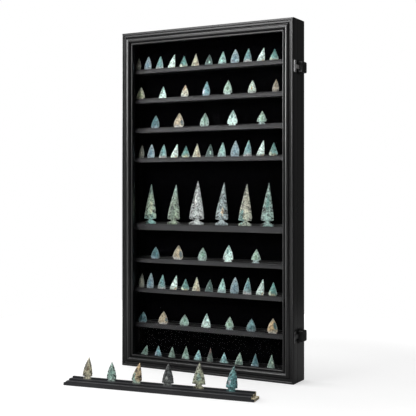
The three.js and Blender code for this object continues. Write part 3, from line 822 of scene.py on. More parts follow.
def frame_section():
    """The door frame's section as points (in from the outer edge, back from the front): a round
    bead, a quirk, a flat band with an eased edge, a high ridge that falls to the glass, and a
    small bead behind a second quirk. Beads and ridge are cubic curves."""
    parts = []

    def bead(u, width, depth, lift):
        pulled = depth - lift * CURVE_REACH
        near, far = u + QUIRK_SLOPE, u + width - QUIRK_SLOPE
        parts.append(bezier((u, depth), (near, pulled), (far, pulled), (u + width, depth), BEAD_STEPS))
        return u + width

    def quirk(u, width, depth):
        parts.append([(u + QUIRK_SLOPE, depth), (u + width - QUIRK_SLOPE, depth)])
        return u + width

    u = bead(0.0, BEAD_WIDTH, BEAD_DEPTH, BEAD_DEPTH)
    u = quirk(u, QUIRK_WIDTH, BEAD_DEPTH + QUIRK_DEPTH)
    edge = u + BAND_WIDTH
    parts.append([(u, BAND_DEPTH), (edge - BAND_EASE, BAND_DEPTH), (edge, BAND_DEPTH + BAND_EASE)])
    end = SIGHT_WIDTH - SIGHT_CHAMFER - SIGHT_BEAD_WIDTH - SIGHT_QUIRK
    start = (edge + QUIRK_SLOPE, RIDGE_START)
    first = (start[0] + RIDGE_TURN[0], RIDGE_LIFT[0])
    second = (end - RIDGE_TURN[1], RIDGE_LIFT[1])
    parts.append(bezier(start, first, second, (end, RIDGE_END), RIDGE_STEPS))
    u = quirk(end, SIGHT_QUIRK, RIDGE_END + SIGHT_QUIRK_DEPTH)
    bead(u, SIGHT_BEAD_WIDTH, SIGHT_BEAD_DEPTH, SIGHT_BEAD_WIDTH / 2)
    low, high = box_mm("door_stile_left")
    thickness = high[1] - low[1]
    parts.append([(SIGHT_WIDTH, GLASS_DEPTH), (SIGHT_WIDTH - GLASS_RABBET, GLASS_DEPTH)])
    parts.append([(SIGHT_WIDTH - GLASS_RABBET, thickness)])
    parts.append(rounded(BACK_ROUND, thickness, 5))
    return np.vstack([np.array(part) for part in parts])


def frame_member(name, node, inward, along, material):
    """A length of the section with mitred ends. A point that lies u in from the outer edge stops u
    short of each corner of the door; inward and along are unit vectors."""
    section = frame_section()
    low, high = box_mm(node)
    inward, along = np.array(inward, float), np.array(along, float)
    outer = np.where(inward > 0, low, high)
    origin = np.where(inward != 0, outer, (low + high) / 2)
    origin[1] = low[1]
    length = (high - low) @ np.abs(along)
    reach = length / 2 + MITRE_EXTRA - section[:, :1]
    base = origin + section[:, :1] * inward + section[:, 1:] * np.array([0, 1, 0])
    rings = np.vstack([base - reach * along, base + reach * along])
    piece = mesh_piece(name, rings, tube_faces(2, len(section)), material, PROFILE_SHARP)
    return eased(piece, MOULDING_EASE, PROFILE_SHARP)


def shelf_section(extra):
    """The shelf's section as points (back from the front, up): the underside, a tall fence, the
    rear groove, a wide ridge, the front groove and a nose whose quarter curve is listed from its
    front end to its top end."""
    low, high = box_mm("shelf_1")
    depth = high[1] - low[1]
    floor = RIDGE_HEIGHT + extra - GROOVE_DEPTH
    path = [
        (0, 0),
        (depth, 0),
        (depth, FENCE_HEIGHT + extra),
        (REAR_GROOVE + GROOVE_WIDTH, FENCE_HEIGHT + extra),
        (REAR_GROOVE + GROOVE_WIDTH, floor),
        (REAR_GROOVE, floor),
        (REAR_GROOVE, RIDGE_HEIGHT + extra),
        (NOSE_WIDTH + GROOVE_WIDTH, RIDGE_HEIGHT + extra),
        (NOSE_WIDTH + GROOVE_WIDTH, floor),
        (NOSE_WIDTH, floor),
        (NOSE_WIDTH, NOSE_HEIGHT + extra),
    ]
    return np.vstack([path, rounded(NOSE_ROUND, NOSE_HEIGHT + extra, 6)[::-1]])


def shelf_mesh(extra, half, edge):
    """Rings of the section along the shelf. On the tongues the heights are cut off at the tongue's
    own. Returns points (along, back, up), faces and how bare of paint each face is: the right end
    with its shoulder and the top of its tongue."""
    section = shelf_section(extra)
    clipped = section.copy()
    clipped[:, 1] = np.minimum(clipped[:, 1], TONGUE_HEIGHT)
    tip = half + TONGUE_LENGTH
    rings = [
        (-tip, clipped), (-half, clipped), (-half, section), (-half + edge, section),
        (half - edge, section), (half, section), (half, clipped), (tip, clipped),
    ]
    points = np.vstack([np.insert(ring, 0, along, axis=1) for along, ring in rings])
    faces = tube_faces(len(rings), len(section))
    middles = np.array([points[face].mean(0) for face in faces])
    near = 0.01
    shoulder = np.abs(middles[:, 0] - half) < near
    on_top = (middles[:, 0] > half) & (middles[:, 2] > TONGUE_HEIGHT - near)
    return points, faces, shoulder | on_top | (middles[:, 0] > tip - near)


# Stone points

# Outlines as corners (share of the height, share of the half width), joined by straight lines;
# hollow, droop and lean are shares of the width: how far the foot's middle rises, how far the barbs
# hang at a height, and how far the tip stands to the right
TIP = (1, 0.03)
OUTLINES = {
    "leaf": dict(
        corners=[(0, 0.6), (0.12, 0.84), (0.3, 1), (0.46, 0.93), (0.66, 0.66), (0.84, 0.34), TIP],
        hollow=0.03,
    ),
    "narrow": dict(
        corners=[(0, 0.7), (0.1, 0.8), (0.36, 1), (0.56, 0.84), (0.76, 0.54), (0.9, 0.26), TIP],
        hollow=0.04,
    ),
    "bullet": dict(
        corners=[
            (0, 0.92), (0.07, 0.8), (0.14, 0.96), (0.3, 1), (0.5, 0.88), (0.7, 0.62), (0.87, 0.33), TIP,
        ],
        hollow=0.07,
    ),
    "triangle": dict(corners=[(0, 0.96), (0.05, 1), (0.3, 0.8), (0.55, 0.54), (0.8, 0.27), TIP], hollow=0.03),
    "convex": dict(
        corners=[(0, 0.94), (0.06, 1), (0.25, 0.91), (0.5, 0.71), (0.72, 0.45), (0.88, 0.23), TIP],
        hollow=0.03,
        lean=0.12,
    ),
    "wing": dict(
        corners=[
            (0, 0.98), (0.04, 1), (0.13, 0.76), (0.18, 0.92), (0.42, 0.74), (0.68, 0.46), (0.88, 0.22), TIP,
        ],
        lean=0.66,
    ),
    "tang": dict(
        corners=[
            (0, 0.46), (0.08, 0.62), (0.2, 0.98), (0.26, 1), (0.45, 0.76), (0.68, 0.46), (0.88, 0.2), TIP,
        ],
        hollow=0.08,
    ),
    "eared": dict(
        corners=[
            (0, 0.86), (0.05, 0.8), (0.13, 0.74), (0.2, 0.96), (0.3, 1), (0.52, 0.85), (0.74, 0.55),
            (0.9, 0.26), TIP,
        ],
        hollow=0.06,
    ),
    "barbed": dict(
        corners=[
            (0, 0.68), (0.06, 0.58), (0.15, 0.5), (0.185, 0.98), (0.3, 0.9), (0.55, 0.64), (0.8, 0.33), TIP,
        ],
        hollow=0.05,
        droop=(0.2, 0.1),
    ),
    "notched": dict(
        corners=[
            (0, 0.84), (0.06, 0.86), (0.13, 0.66), (0.19, 0.6), (0.24, 0.98), (0.38, 0.96), (0.6, 0.74),
            (0.82, 0.4), TIP,
        ],
        hollow=0.06,
        droop=(0.26, 0.04),
    ),
    "side_notched": dict(
        corners=[
            (0, 0.74), (0.08, 0.8), (0.15, 0.76), (0.2, 0.5), (0.26, 0.54), (0.31, 1), (0.46, 0.9),
            (0.68, 0.6), (0.86, 0.3), TIP,
        ],
        hollow=0.08,
    ),
    "lobed": dict(
        corners=[
            (0, 0.5), (0.04, 0.68), (0.1, 0.78), (0.16, 0.72), (0.2, 0.48), (0.25, 0.5), (0.29, 1),
            (0.36, 0.97), (0.55, 0.76), (0.75, 0.48), (0.9, 0.22), TIP,
        ],
        hollow=-0.04,
        droop=(0.31, 0.09),
    ),
    "square": dict(
        corners=[
            (0, 0.76), (0.03, 0.84), (0.13, 0.82), (0.18, 0.62), (0.22, 0.64), (0.25, 1), (0.36, 0.97),
            (0.55, 0.8), (0.75, 0.52), (0.9, 0.24), TIP,
        ],
        hollow=0.06,
        droop=(0.27, 0.07),
    ),
    "spear": dict(
        corners=[
            (0, 0.9), (0.045, 0.98), (0.07, 1), (0.09, 0.84), (0.115, 0.52), (0.135, 0.36), (0.17, 0.33),
            (0.188, 0.9), (0.21, 1), (0.31, 0.92), (0.43, 0.8), (0.54, 0.66), (0.66, 0.51), (0.77, 0.36),
            (0.885, 0.21), TIP,
        ],
        hollow=0.09,
        droop=(0.2, 0.08),
    ),
}
DROOP_SPREAD = 0.05
HOLLOW_FALL = 7  # how fast the hollow of the foot fades upwards

# Nibbles of the edge and flake scars: steps and sizes in mm, ranges of the random draws, and the
# rows of scars as (place between middle and edge, share of the full count)
JITTER = (0.2, 0.8)
NIBBLE_STEP = 3.2
SCAR_ROWS = ((0.72, 1.0), (0.3, 0.7))
SCAR_TILT = (0.45, 0.22)
SCAR_LENGTH = (0.5, 0.75)
SCAR_WIDTH = (0.5, 0.8)
SCAR_ADDED = 0.3
SMALL_SCAR = 4.2
LARGE_SCAR = 5.2
LARGE_FROM = 60.0

# Thickness: shares of the height where it swells, falls, rounds off and is pinched
SWELL_RUN = 0.22
FALL_START = 0.45
FALL_SHARE = 0.75
FOOT_ROUND = 0.06
TIP_PINCH = 0.08
THICK_SHARE = 0.4  # the most of the half outline that half the thickness may be
LEAN_REST = 0.5  # how far above the groove's edge a leaning point rests
SCAR_FLOOR = 0.4  # share of the full scar depth on the part that stands in the groove
SCAR_RIM = 0.55  # how strong the painted highlight on the ridges between scars is, next to the edges


def smoothstep(low, high, value):
    """0 below low, 1 above high and 3t^2 - 2t^3 between."""
    t = np.clip((value - low) / (high - low), 0, 1)
    return t * t * (3 - 2 * t)


def half_outline(share, kind):
    """Half the width at a share of the height, along the straight lines between an outline's
    corners."""
    heights, halves = np.array(OUTLINES[kind]["corners"]).T
    return np.interp(share, heights, halves)


def flake_scars(across, up, width, height, kind, rng, size):
    """How far each place on one face is from the middle of its flake scar, 0 to 1, and the scar's
    own tone, 0 to 1. Scars are stretched bowls that run in from both edges, and each place belongs
    to the nearest one."""
    lean = OUTLINES[kind].get("lean", 0)
    count = max(5, round(height / size))
    nearest = np.full(across.shape, 9.0)
    tone = np.full(across.shape, 0.5)
    for side in (-1, 1):
        for inset, share in SCAR_ROWS:
            steps = max(4, round(count * share))
            level = (np.arange(steps) + rng.uniform(*JITTER, steps)) / steps
            half = half_outline(level, kind) * width / 2
            middle = lean * level * width / 2 + side * half * inset
            tilt = rng.normal(*SCAR_TILT, steps)
            long = half * rng.uniform(*SCAR_LENGTH, steps) + size * SCAR_ADDED
            wide = height / steps * rng.uniform(*SCAR_WIDTH, steps)
            own = rng.uniform(0, 1, steps)
            for i in range(steps):
                dx = across - middle[i]
                dz = up - level[i] * height
                along = -side * dx * math.cos(tilt[i]) + dz * math.sin(tilt[i])
                cross = side * dx * math.sin(tilt[i]) + dz * math.cos(tilt[i])
                gap = (along / long[i]) ** 2 + (cross / wide[i]) ** 2
                tone = np.where(gap < nearest, own[i], tone)
                nearest = np.minimum(nearest, gap)
    return np.clip(nearest, 0, 1), tone


def nibbles(t, s, height, rng):
    """How far the edges are nibbled away, 0 to 1: bites at uneven heights on either side, 1 - d^2
    for the distance d to the nearest bite, times s^2."""
    count = max(6, round(height / NIBBLE_STEP))
    bitten = np.zeros_like(t)
    for side in (-1, 1):
        marks = (np.arange(count) + rng.uniform(*JITTER, count)) / count
        near = np.min(np.abs(t[:, :1] - marks), axis=1) * count * 2
        bite = 1 - np.clip(near, 0, 1) ** 2
        bitten += bite[:, None] * np.clip(side * s, 0, 1) ** 2
    return bitten


def thickness_plan(t, kind, width, thickness, foot, begin):
    """Half the thickness up the middle: the foot's, which swells above the groove to the full one
    and falls again to the tip, rounded off below by a quarter ellipse and pinched to the tip."""
    swell = smoothstep(begin, begin + SWELL_RUN, t) * (1 - FALL_SHARE * smoothstep(FALL_START, 1, t))
    most = half_outline(t, kind) * width * THICK_SHARE
    plan = np.minimum((foot + (thickness - foot) * swell) / 2, most)
    low = t < FOOT_ROUND
    plan = plan * np.sqrt(np.clip(1 - (1 - t / FOOT_ROUND) ** 2, 0, 1) * low + ~low)
    return plan * np.clip((1 - t) / TIP_PINCH, 0, 1) ** 0.5


def stone_point(name, kind, stone, size, thickness, foot, held, grain, seed, place, tip=0.0):
    """A flaked point as a closed lens over two parameters: t runs from foot to tip and s from the
    left edge to the right one. Half the thickness is the lens (1 - |s|^1.7)^0.8 times its plan, cut
    down by the flake scars. place sends points (across, back, up) to the case, and tip is how far
    the tip stands to the right, in mm."""
    width, height = size
    columns, rows = grain
    rng = np.random.default_rng(seed)
    shape = OUTLINES[kind]
    flaking = bpy.context.scene.stone_shape
    t, s = np.meshgrid(np.linspace(0, 1, rows), np.linspace(-1, 1, columns), indexing="ij")
    kept = 1 - flaking.scallop * nibbles(t, s, height, rng)
    half = half_outline(t, kind) * width / 2 * kept
    across = shape.get("lean", 0) * t * width / 2 + tip * t**2 + half * s
    up = height * t + shape.get("hollow", 0) * width * (1 - s**2) * (1 - t) ** HOLLOW_FALL
    if "droop" in shape:
        shoulder, fall = shape["droop"]
        up = up - fall * width * np.abs(s) ** 4 * np.exp(-(((t - shoulder) / DROOP_SPREAD) ** 2))
    begin = held / height
    lens = thickness_plan(t, kind, width, thickness, foot, begin) * (1 - np.abs(s) ** 1.7) ** 0.8
    lean = (GROOVE_WIDTH - foot - 2 * FIT) / (held + LEAN_REST)
    middle = FIT + foot / 2 + lean * up
    above = smoothstep(begin * 0.8, begin + 0.1, t)
    deep = SCAR_FLOOR + (1 - SCAR_FLOOR) * above
    scar_size = SMALL_SCAR if height < LARGE_FROM else LARGE_SCAR
    sides, maps = [], []
    for hand in (-1, 1):
        scars, tone = flake_scars(across, up, width, height, kind, rng, scar_size)
        wall = lens * (1 - flaking.flake_depth * (1 - scars) * deep)
        sides.append(np.stack([across, middle + hand * wall, up], -1))
        # The map's alpha: where the edges, the tip and the ridges between scars get a painted highlight
        edge = np.maximum(np.abs(s) ** 8, np.clip((t - 0.9) / 0.1, 0, 1) ** 2)
        edge = np.maximum(edge, SCAR_RIM * smoothstep(0.5, 0.95, scars))
        maps.append(np.stack([t, (s + 1) / 2, tone, edge], -1))
    inner = np.zeros(t.shape, bool)
    inner[1:-1, 1:-1] = True
    back_index = np.arange(rows * columns).reshape(rows, columns)
    back_index[inner] = rows * columns + np.arange(inner.sum())
    points = np.vstack([sides[0].reshape(-1, 3), sides[1][inner]])
    colors = np.vstack([maps[0].reshape(-1, 4), maps[1][inner]])
    squares = grid_faces(rows, columns)
    faces = np.vstack([squares, back_index.reshape(-1)[squares][:, ::-1]])
    mesh = raw_mesh(name, place(points), faces.tolist())
    attribute = mesh.attributes.new("stone_map", "FLOAT_COLOR", "POINT")
    attribute.data.foreach_set("color", colors.astype(np.float32).ravel())
    return shaded(name, mesh, stone_material(stone), STONE_SHARP)


def moved(spot):
    """A function that moves points by a spot."""
    return lambda points: points + spot


# What stands on each shelf: (outline, width, kind of stone), then the places across and the heights
TWELVE = [
    ("narrow", 15, "olive"), ("bullet", 18.5, "lavender"), ("convex", 20.5, "teal_rose"),
    ("wing", 20.5, "aqua"), ("tang", 20.5, "teal_cream"), ("triangle", 21.5, "khaki"),
    ("convex", 20.5, "bottle"), ("convex", 20.5, "sea"), ("bullet", 20.5, "slate"),
    ("convex", 20.5, "blue_rose"), ("wing", 20, "mint_tan"), ("tang", 20.5, "green_cream"),
]
SEVEN_TOP = [
    ("notched", 22, "cream_green"), ("barbed", 20, "pale_mint"), ("eared", 18.5, "tan_aqua"),
    ("leaf", 18.5, "turquoise"), ("notched", 21, "green_aqua"), ("eared", 19.5, "mint_rust"),
    ("leaf", 15.5, "brown"),
]
FIVE = [
    ("eared", 21.5, "steel_blue"), ("eared", 26, "tan_silver"), ("eared", 22.5, "mint_green"),
    ("notched", 24.5, "pale_mint"), ("side_notched", 22.5, "green_aqua"),
]
SEVEN_LOW = [
    ("eared", 22, "steel_blue"), ("eared", 25, "tan_silver"), ("eared", 23, "mint_green"),
    ("barbed", 24, "pale_mint"), ("side_notched", 21.5, "green_aqua"), ("eared", 22, "dark_teal"),
    ("eared", 23.5, "orange_teal"),
]
TEN = [
    ("wing", 20, "mint_green"), ("triangle", 20.5, "turquoise"), ("triangle", 19.5, "sage"),
    ("triangle", 21, "mint_green"), ("convex", 19.5, "sky"), ("triangle", 17, "red_tip"),
    ("triangle", 21.5, "sky"), ("convex", 20, "sage"), ("triangle", 19, "steel_blue"),
    ("triangle", 19, "sage"),
]
ROWS = {
    1: (TWELVE, [-179, -154, -124, -95, -64, -35, -3, 29, 59, 88, 117, 148],
        [31, 32, 31, 32, 27, 30, 26, 30, 33, 32, 31, 27]),
    2: (SEVEN_TOP, [-173, -116, -61, -9, 42, 98, 151], [30, 29, 29, 34, 34, 30, 30]),
    3: (FIVE, [-135, -76, -13, 53, 120], [31, 34, 32, 35, 31]),
    4: (TWELVE, [-171, -146, -116, -88, -59, -32, -1, 28, 59, 88, 116, 146],
        [31, 33, 32, 32, 28, 32, 30, 33, 36, 36, 35, 30]),
    6: (FIVE, [-135, -78, -18, 43, 107], [28, 33, 30, 37, 31]),
    7: (TWELVE, [-171, -148, -119, -90, -60, -33, -2, 28, 58, 87, 115, 145],
        [33, 35, 33, 33, 27, 32, 28, 32, 36, 36, 35, 30]),
    8: (SEVEN_LOW, [-167, -115, -62, -9, 46, 96, 144], [25, 29, 26, 32, 29, 28, 32]),
    9: (TEN, [-164, -128, -93, -59, -29, 0, 33, 68, 105, 141],
        [24, 25, 26, 30, 25, 31, 25, 28, 29, 30]),
}
# The kind of stone of each long point, and how far its tip stands to the right
SPEARS = [
    ("spear_teal", 0.0), ("spear_olive", 4.0), ("spear_grey", 0.8), ("spear_silver", 3.6),
    ("spear_cream", 2.0), ("spear_green", 1.6),
]
# The outline, width, kind of stone and tip of each point on the loose shelf
LOOSE = [
    ("square", 22.5, "loose_khaki", 2.0), ("square", 22, "loose_mint", -0.6),
    ("square", 22.5, "loose_tan", 5.5), ("square", 25, "loose_dark", 0.0),
    ("lobed", 27.5, "loose_olive", 0.0), ("square", 24, "loose_turquoise", 4.0),
]
SPEAR_SLIM = 0.91  # width of a long point, as a share of its node's
POINT_FOOT = 2.6
POINT_THICKNESS = 5.4
SPEAR_FOOT = 3.0
SPEAR_THICKNESS = 7.0
LOOSE_THICKNESS = 6.0
STAND = GROOVE_DEPTH - FIT  # how deep a foot stands in its groove

# Columns and rows of the meshes
SMALL_COLUMNS = 25
SPEAR_GRAIN = (49, 97)
LOOSE_GRAIN = (41, 61)
LOOSE_SEED = 50  # start of the loose points' random flakes, after the others'

# Screws and pins: sides of a ring, rings of a screw's head as shares of its radius, and shares of
# the head between which the arms of its cross recess have their walls and their ends
SCREW_SIDES = 48
PIN_SIDES = 24
HEAD_RINGS = np.array([0.02, 0.12, 0.22, 0.32, 0.42, 0.52, 0.62, 0.74, 0.86, 0.95, 1.0])
DOME_SHARE = 0.92
ARM_WALL = (0.22, 0.12)
ARM_END = (0.78, 0.5)
RECESS_SHARE = 0.7
SCREW_TIP = 0.05


def circle(radius, level, sides):
    """A ring about the axis: (r cos a, r sin a, level)."""
    turn = np.arange(sides) * 2 * math.pi / sides
    return np.stack([radius * np.cos(turn), radius * np.sin(turn), np.full(sides, level)], -1)


def screw_mesh(head_radius, head_height, shank_radius, length):
    """A screw as rings about its axis, from the middle of the head to the tip: the head is a low
    dome, less a cross recess whose depth follows the smaller distance to either arm."""
    dome = head_height * np.sqrt(np.clip(1 - (HEAD_RINGS * DOME_SHARE) ** 2, 0, 1))
    head = np.stack([circle(share * head_radius, rise, SCREW_SIDES) for share, rise in zip(HEAD_RINGS, dome)])
    arm = np.minimum(np.abs(head[..., 0]), np.abs(head[..., 1]))
    inside = smoothstep(ARM_WALL[0] * head_radius, ARM_WALL[1] * head_radius, arm)
    inside = inside * smoothstep(*ARM_END, HEAD_RINGS)[:, None]
    head[..., 2] -= RECESS_SHARE * head_height * inside
    below = (
        (head_radius, 0.0), (shank_radius, 0.0), (shank_radius, -length + shank_radius),
        (SCREW_TIP, -length),
    )
    rings = [*head, *(circle(radius, level, SCREW_SIDES) for radius, level in below)]
    return np.vstack(rings), tube_faces(len(rings), SCREW_SIDES)


def pin_mesh(radius, height, shank, length):
    """A pin as rings about its axis: a flat head with an eased edge, and a straight shank."""
    levels = ((0.8 * radius, height), (radius, 0.5 * height), (radius, 0.0), (shank, 0.0), (shank, -length))
    rings = [circle(share, level, PIN_SIDES) for share, level in levels]
    return np.vstack(rings), tube_faces(len(rings), PIN_SIDES)


def lock_screw(node, body):
    """A screw in the place of its node, with its head out to the right."""
    low, high = box_mm(node)
    radius, rise, shank = LOCK_SCREW
    head = high[0] - rise
    points, faces = screw_mesh(radius, rise, shank, head - low[0])
    middle = (low + high) / 2
    turned = points[:, [2, 0, 1]] + np.array([head, middle[1], middle[2]])
    piece = mesh_piece(node + "_steel", turned, faces, metal("plain_steel"), METAL_SHARP)
    settle(piece, body, "steel", node)


def leaf_screws(place, leaf, body):
    """Two screws in a hinge leaf, with their heads out to the left."""
    low, high = box_mm(f"{place}_hinge_{leaf}")
    hand = 1 if leaf == "case_leaf" else -1
    edge = high[1] if hand > 0 else low[1]
    points, faces = screw_mesh(*HINGE_SCREW)
    for number, side in ((1, -1), (2, 1)):
        level = (low[2] + high[2]) / 2 + side * HINGE_SCREW_RISE
        spot = np.array([high[0] - HINGE_SCREW_SEAT, edge - hand * HINGE_SCREW_INSET, level])
        turned = points[:, [2, 1, 0]] * np.array([-1, 1, 1]) + spot
        name = f"{place}_{leaf}_screw_{number}_steel"
        settle(mesh_piece(name, turned, faces, metal("plain_steel"), METAL_SHARP), body, "steel")


def panel_pins():
    """Pins through the edge of the back panel: along its foot and its top, then up its sides."""
    low, high = box_mm("back_panel")
    points, faces = pin_mesh(*PANEL_PIN)
    (across, inset), (upward, rise) = PINS_ACROSS, PINS_UP
    places = np.linspace(low[0] + inset, high[0] - inset, across)
    levels = np.linspace(low[2] + rise, high[2] - rise, upward)
    spots = [(x, z) for z in (low[2] + PIN_INSET, high[2] - PIN_INSET) for x in places]
    spots += [(x, z) for x in (low[0] + PIN_INSET, high[0] - PIN_INSET) for z in levels]
    for number, (x, z) in enumerate(spots, 1):
        turned = points[:, [0, 2, 1]] + np.array([x, high[1], z])
        piece = mesh_piece(f"panel_pin_{number}", turned, faces, metal("plain_steel"), METAL_SHARP)
        settle(piece, "case", "steel")


def loose_frame():
    """The loose shelf's corner on the floor and its axes (along, back, up)."""
    door_front = box_mm("door_rail_top")[0][1]
    corner = np.array([LOOSE_CORNER[0], door_front + LOOSE_CORNER[1], 0])
    along = np.array([math.cos(LOOSE_TURN), math.sin(LOOSE_TURN), 0])
    back = np.array([-math.sin(LOOSE_TURN), math.cos(LOOSE_TURN), 0])
    return corner, np.stack([along, back, [0, 0, 1]])


# Operators


class POINTCASE_OT_boards(bpy.types.Operator):
    """The case's boards, its back panel and its felt lining"""

    bl_idname = "point_case.boards"
    bl_label = "Boards and lining"

    def execute(self, context):
        ease = context.scene.case_finish.edge_round
        for node, axis in (
            ("case_side_left", "z"), ("case_side_right", "z"), ("case_bottom", "x"),
            ("case_top", "x"), ("back_panel", "z"),
        ):
            dress_node(node, "_board", "case", "black_paint", case_paint(axis), ease)
        paint_node("back_lining", felt_material())
        return {"FINISHED"}


class POINTCASE_OT_door(bpy.types.Operator):
    """The door's moulded frame, its glazing strips and its clear sheet"""

    bl_idname = "point_case.door"
    bl_label = "Door"

    def execute(self, context):
        members = (
            ("door_stile_left", (1, 0, 0), (0, 0, 1), "z"),
            ("door_stile_right", (-1, 0, 0), (0, 0, 1), "z"),
            ("door_rail_bottom", (0, 0, 1), (1, 0, 0), "x"),
            ("door_rail_top", (0, 0, -1), (1, 0, 0), "x"),
        )
        for node, inward, along, axis in members:
            piece = frame_member(node + "_moulding", node, inward, along, case_paint(axis))
            settle(piece, "door", "black_paint", node)
        for side, axis in (("left", "z"), ("right", "z"), ("bottom", "x"), ("top", "x")):
            node = "glazing_strip_" + side
            dress_node(node, "_wood", "door", "black_paint", case_paint(axis), STRIP_EASE)
        paint_node("door_glazing", sheet_material())
        return {"FINISHED"}


class POINTCASE_OT_shelves(bpy.types.Operator):
    """The nine fitted shelves"""

    bl_idname = "point_case.shelves"
    bl_label = "Fitted shelves"

    def execute(self, context):
        for node in SHELVES:
            low, high = box_mm(node)
            extra = THICK_SHELF_EXTRA if node == THICK_SHELF else 0.0
            points, faces, _ = shelf_mesh(extra, high[0] - TONGUE_LENGTH, SHELF_END)
            points = points + np.array([0, low[1], low[2]])
            piece = mesh_piece(node + "_rail", points, faces, shelf_paint(), PROFILE_SHARP)
            settle(eased(piece, SHELF_EASE, PROFILE_SHARP), "case", "black_paint", node)
        return {"FINISHED"}


class POINTCASE_OT_loose_shelf(bpy.types.Operator):
    """The shelf that was taken out, with bare wood at its right end"""

    bl_idname = "point_case.loose_shelf"
    bl_label = "Loose shelf"

    def execute(self, context):
        tip = box_mm("shelf_1")[1][0]
        points, faces, bare = shelf_mesh(0.0, tip - TONGUE_LENGTH, LOOSE_END)
        corner, axes = loose_frame()
        name = "loose_shelf_rail"
        mesh = raw_mesh(name, (points + np.array([tip, 0, 0])) @ axes + corner, faces)
        attribute = mesh.attributes.new("bare", "FLOAT", "FACE")
        attribute.data.foreach_set("value", bare.astype(np.float32))
        piece = finish_mesh(name, mesh, worn_lit_shelf_paint(), PROFILE_SHARP)
        eased(piece, LOOSE_SHELF_EASE, PROFILE_SHARP)
        settle(piece, "loose_shelf_set", "black_paint", "loose_shelf")
        return {"FINISHED"}


class POINTCASE_OT_hinges(bpy.types.Operator):
    """Two hinges, each with a case leaf, a door leaf and a pin"""

    bl_idname = "point_case.hinges"
    bl_label = "Hinges"

    def execute(self, context):
        black = metal("black_metal")
        for place in PLACES:
            for part, body in (("case_leaf", "case"), ("door_leaf", "door"), ("pin", "case")):
                node = f"{place}_hinge_{part}"
                dress_node(node, "_metal", body, "black_metal", black, HINGE_EASE, METAL_SHARP)
        return {"FINISHED"}


class POINTCASE_OT_locks(bpy.types.Operator):
    """Two locks, each with a strike plate, a housing and a core"""

    bl_idname = "point_case.locks"
    bl_label = "Locks"

    def execute(self, context):
        # Painted light: the same strike plates get a pale steel for a painted reflection above and a dark
        # steel for painted shade below
        strikes = {"upper": "plated_steel", "lower": "dull_steel"}
        for place in PLACES:
            for part, body, slot, finish in (
                ("strike", "door", "steel", strikes[place]),
                ("housing", "case", "black_metal", "black_metal"),
                ("core", place + "_lock", "black_metal", "black_metal"),
            ):
                node = f"{place}_lock_{part}"
                dress_node(node, "_metal", body, slot, metal(finish), METAL_EASE, METAL_SHARP)
        return {"FINISHED"}


class POINTCASE_OT_screws(bpy.types.Operator):
    """The screws of the locks and hinges and the pins of the back panel"""

    bl_idname = "point_case.screws"
    bl_label = "Screws and pins"

    def execute(self, context):
        for place in PLACES:
            for part, body in (("strike", "door"), ("housing", "case")):
                for number in (1, 2):
                    lock_screw(f"{place}_{part}_screw_{number}", body)
            for leaf, body in (("case_leaf", "case"), ("door_leaf", "door")):
                leaf_screws(place, leaf, body)
        panel_pins()
        return {"FINISHED"}


class POINTCASE_OT_hangers(bpy.types.Operator):
    """Two saw-tooth hangers on the back"""

    bl_idname = "point_case.hangers"
    bl_label = "Hangers"

    def execute(self, context):
        steel = metal("plain_steel")
        for side in ("left", "right"):
            dress_node("hanger_" + side, "_steel", "case", "steel", steel, METAL_EASE, METAL_SHARP)
        return {"FINISHED"}


class POINTCASE_OT_small_points(bpy.types.Operator):
    """Seventy small points in the front grooves of eight shelves"""

    bl_idname = "point_case.small_points"
    bl_label = "Small points"

    def execute(self, context):
        shape = context.scene.stone_shape
        for row, (kinds, places, heights) in ROWS.items():
            low = box_mm(f"shelf_{row}")[0]
            front, floor = low[1] + NOSE_WIDTH, low[2] + RIDGE_HEIGHT - STAND
            for number, ((kind, width, stone), across, height) in enumerate(zip(kinds, places, heights)):
                piece = stone_point(
                    f"point_{row}_{number + 1:02d}", kind, stone, size=(width, height),
                    thickness=POINT_THICKNESS, foot=POINT_FOOT, held=STAND,
                    grain=(SMALL_COLUMNS, shape.small_rows), seed=shape.seed * 100 + row * 20 + number,
                    place=moved(np.array([across, front, floor])),
                )
                settle(piece, "case", "stone")
        return {"FINISHED"}


class POINTCASE_OT_spear_points(bpy.types.Operator):
    """Six long points on the thick shelf"""

    bl_idname = "point_case.spear_points"
    bl_label = "Spear points"

    def execute(self, context):
        front = box_mm(THICK_SHELF)[0][1] + NOSE_WIDTH
        for number, (stone, tip) in enumerate(SPEARS, 1):
            node = f"spear_point_{number}"
            low, high = box_mm(node)
            piece = stone_point(
                node + "_stone", "spear", stone, size=((high[0] - low[0]) * SPEAR_SLIM, high[2] - low[2]),
                thickness=SPEAR_THICKNESS, foot=SPEAR_FOOT, held=STAND, grain=SPEAR_GRAIN,
                seed=context.scene.stone_shape.seed + number,
                place=moved(np.array([(low[0] + high[0]) / 2, front, low[2]])), tip=tip,
            )
            settle(piece, "case", "stone", node)
        return {"FINISHED"}


class POINTCASE_OT_loose_points(bpy.types.Operator):
    """Six points in the rear groove of the loose shelf"""

    bl_idname = "point_case.loose_points"
    bl_label = "Loose points"

    def execute(self, context):
        corner, axes = loose_frame()
        for number, (kind, width, stone, tip) in enumerate(LOOSE, 1):
            node = f"loose_point_{number}"
            low, high = box_mm(node)
            along = ((low + high) / 2 - corner) @ axes[0]
            spot = np.array([along, REAR_GROOVE, low[2]])
            piece = stone_point(
                node + "_stone", kind, stone, size=(width, high[2] - low[2]),
                thickness=LOOSE_THICKNESS, foot=POINT_FOOT, held=FENCE_HEIGHT - RIDGE_HEIGHT + STAND,
                grain=LOOSE_GRAIN, seed=context.scene.stone_shape.seed + LOOSE_SEED + number,
                place=lambda points, spot=spot: (points + spot) @ axes + corner, tip=tip,
            )
            settle(piece, "loose_shelf_set", "stone", node)
        return {"FINISHED"}


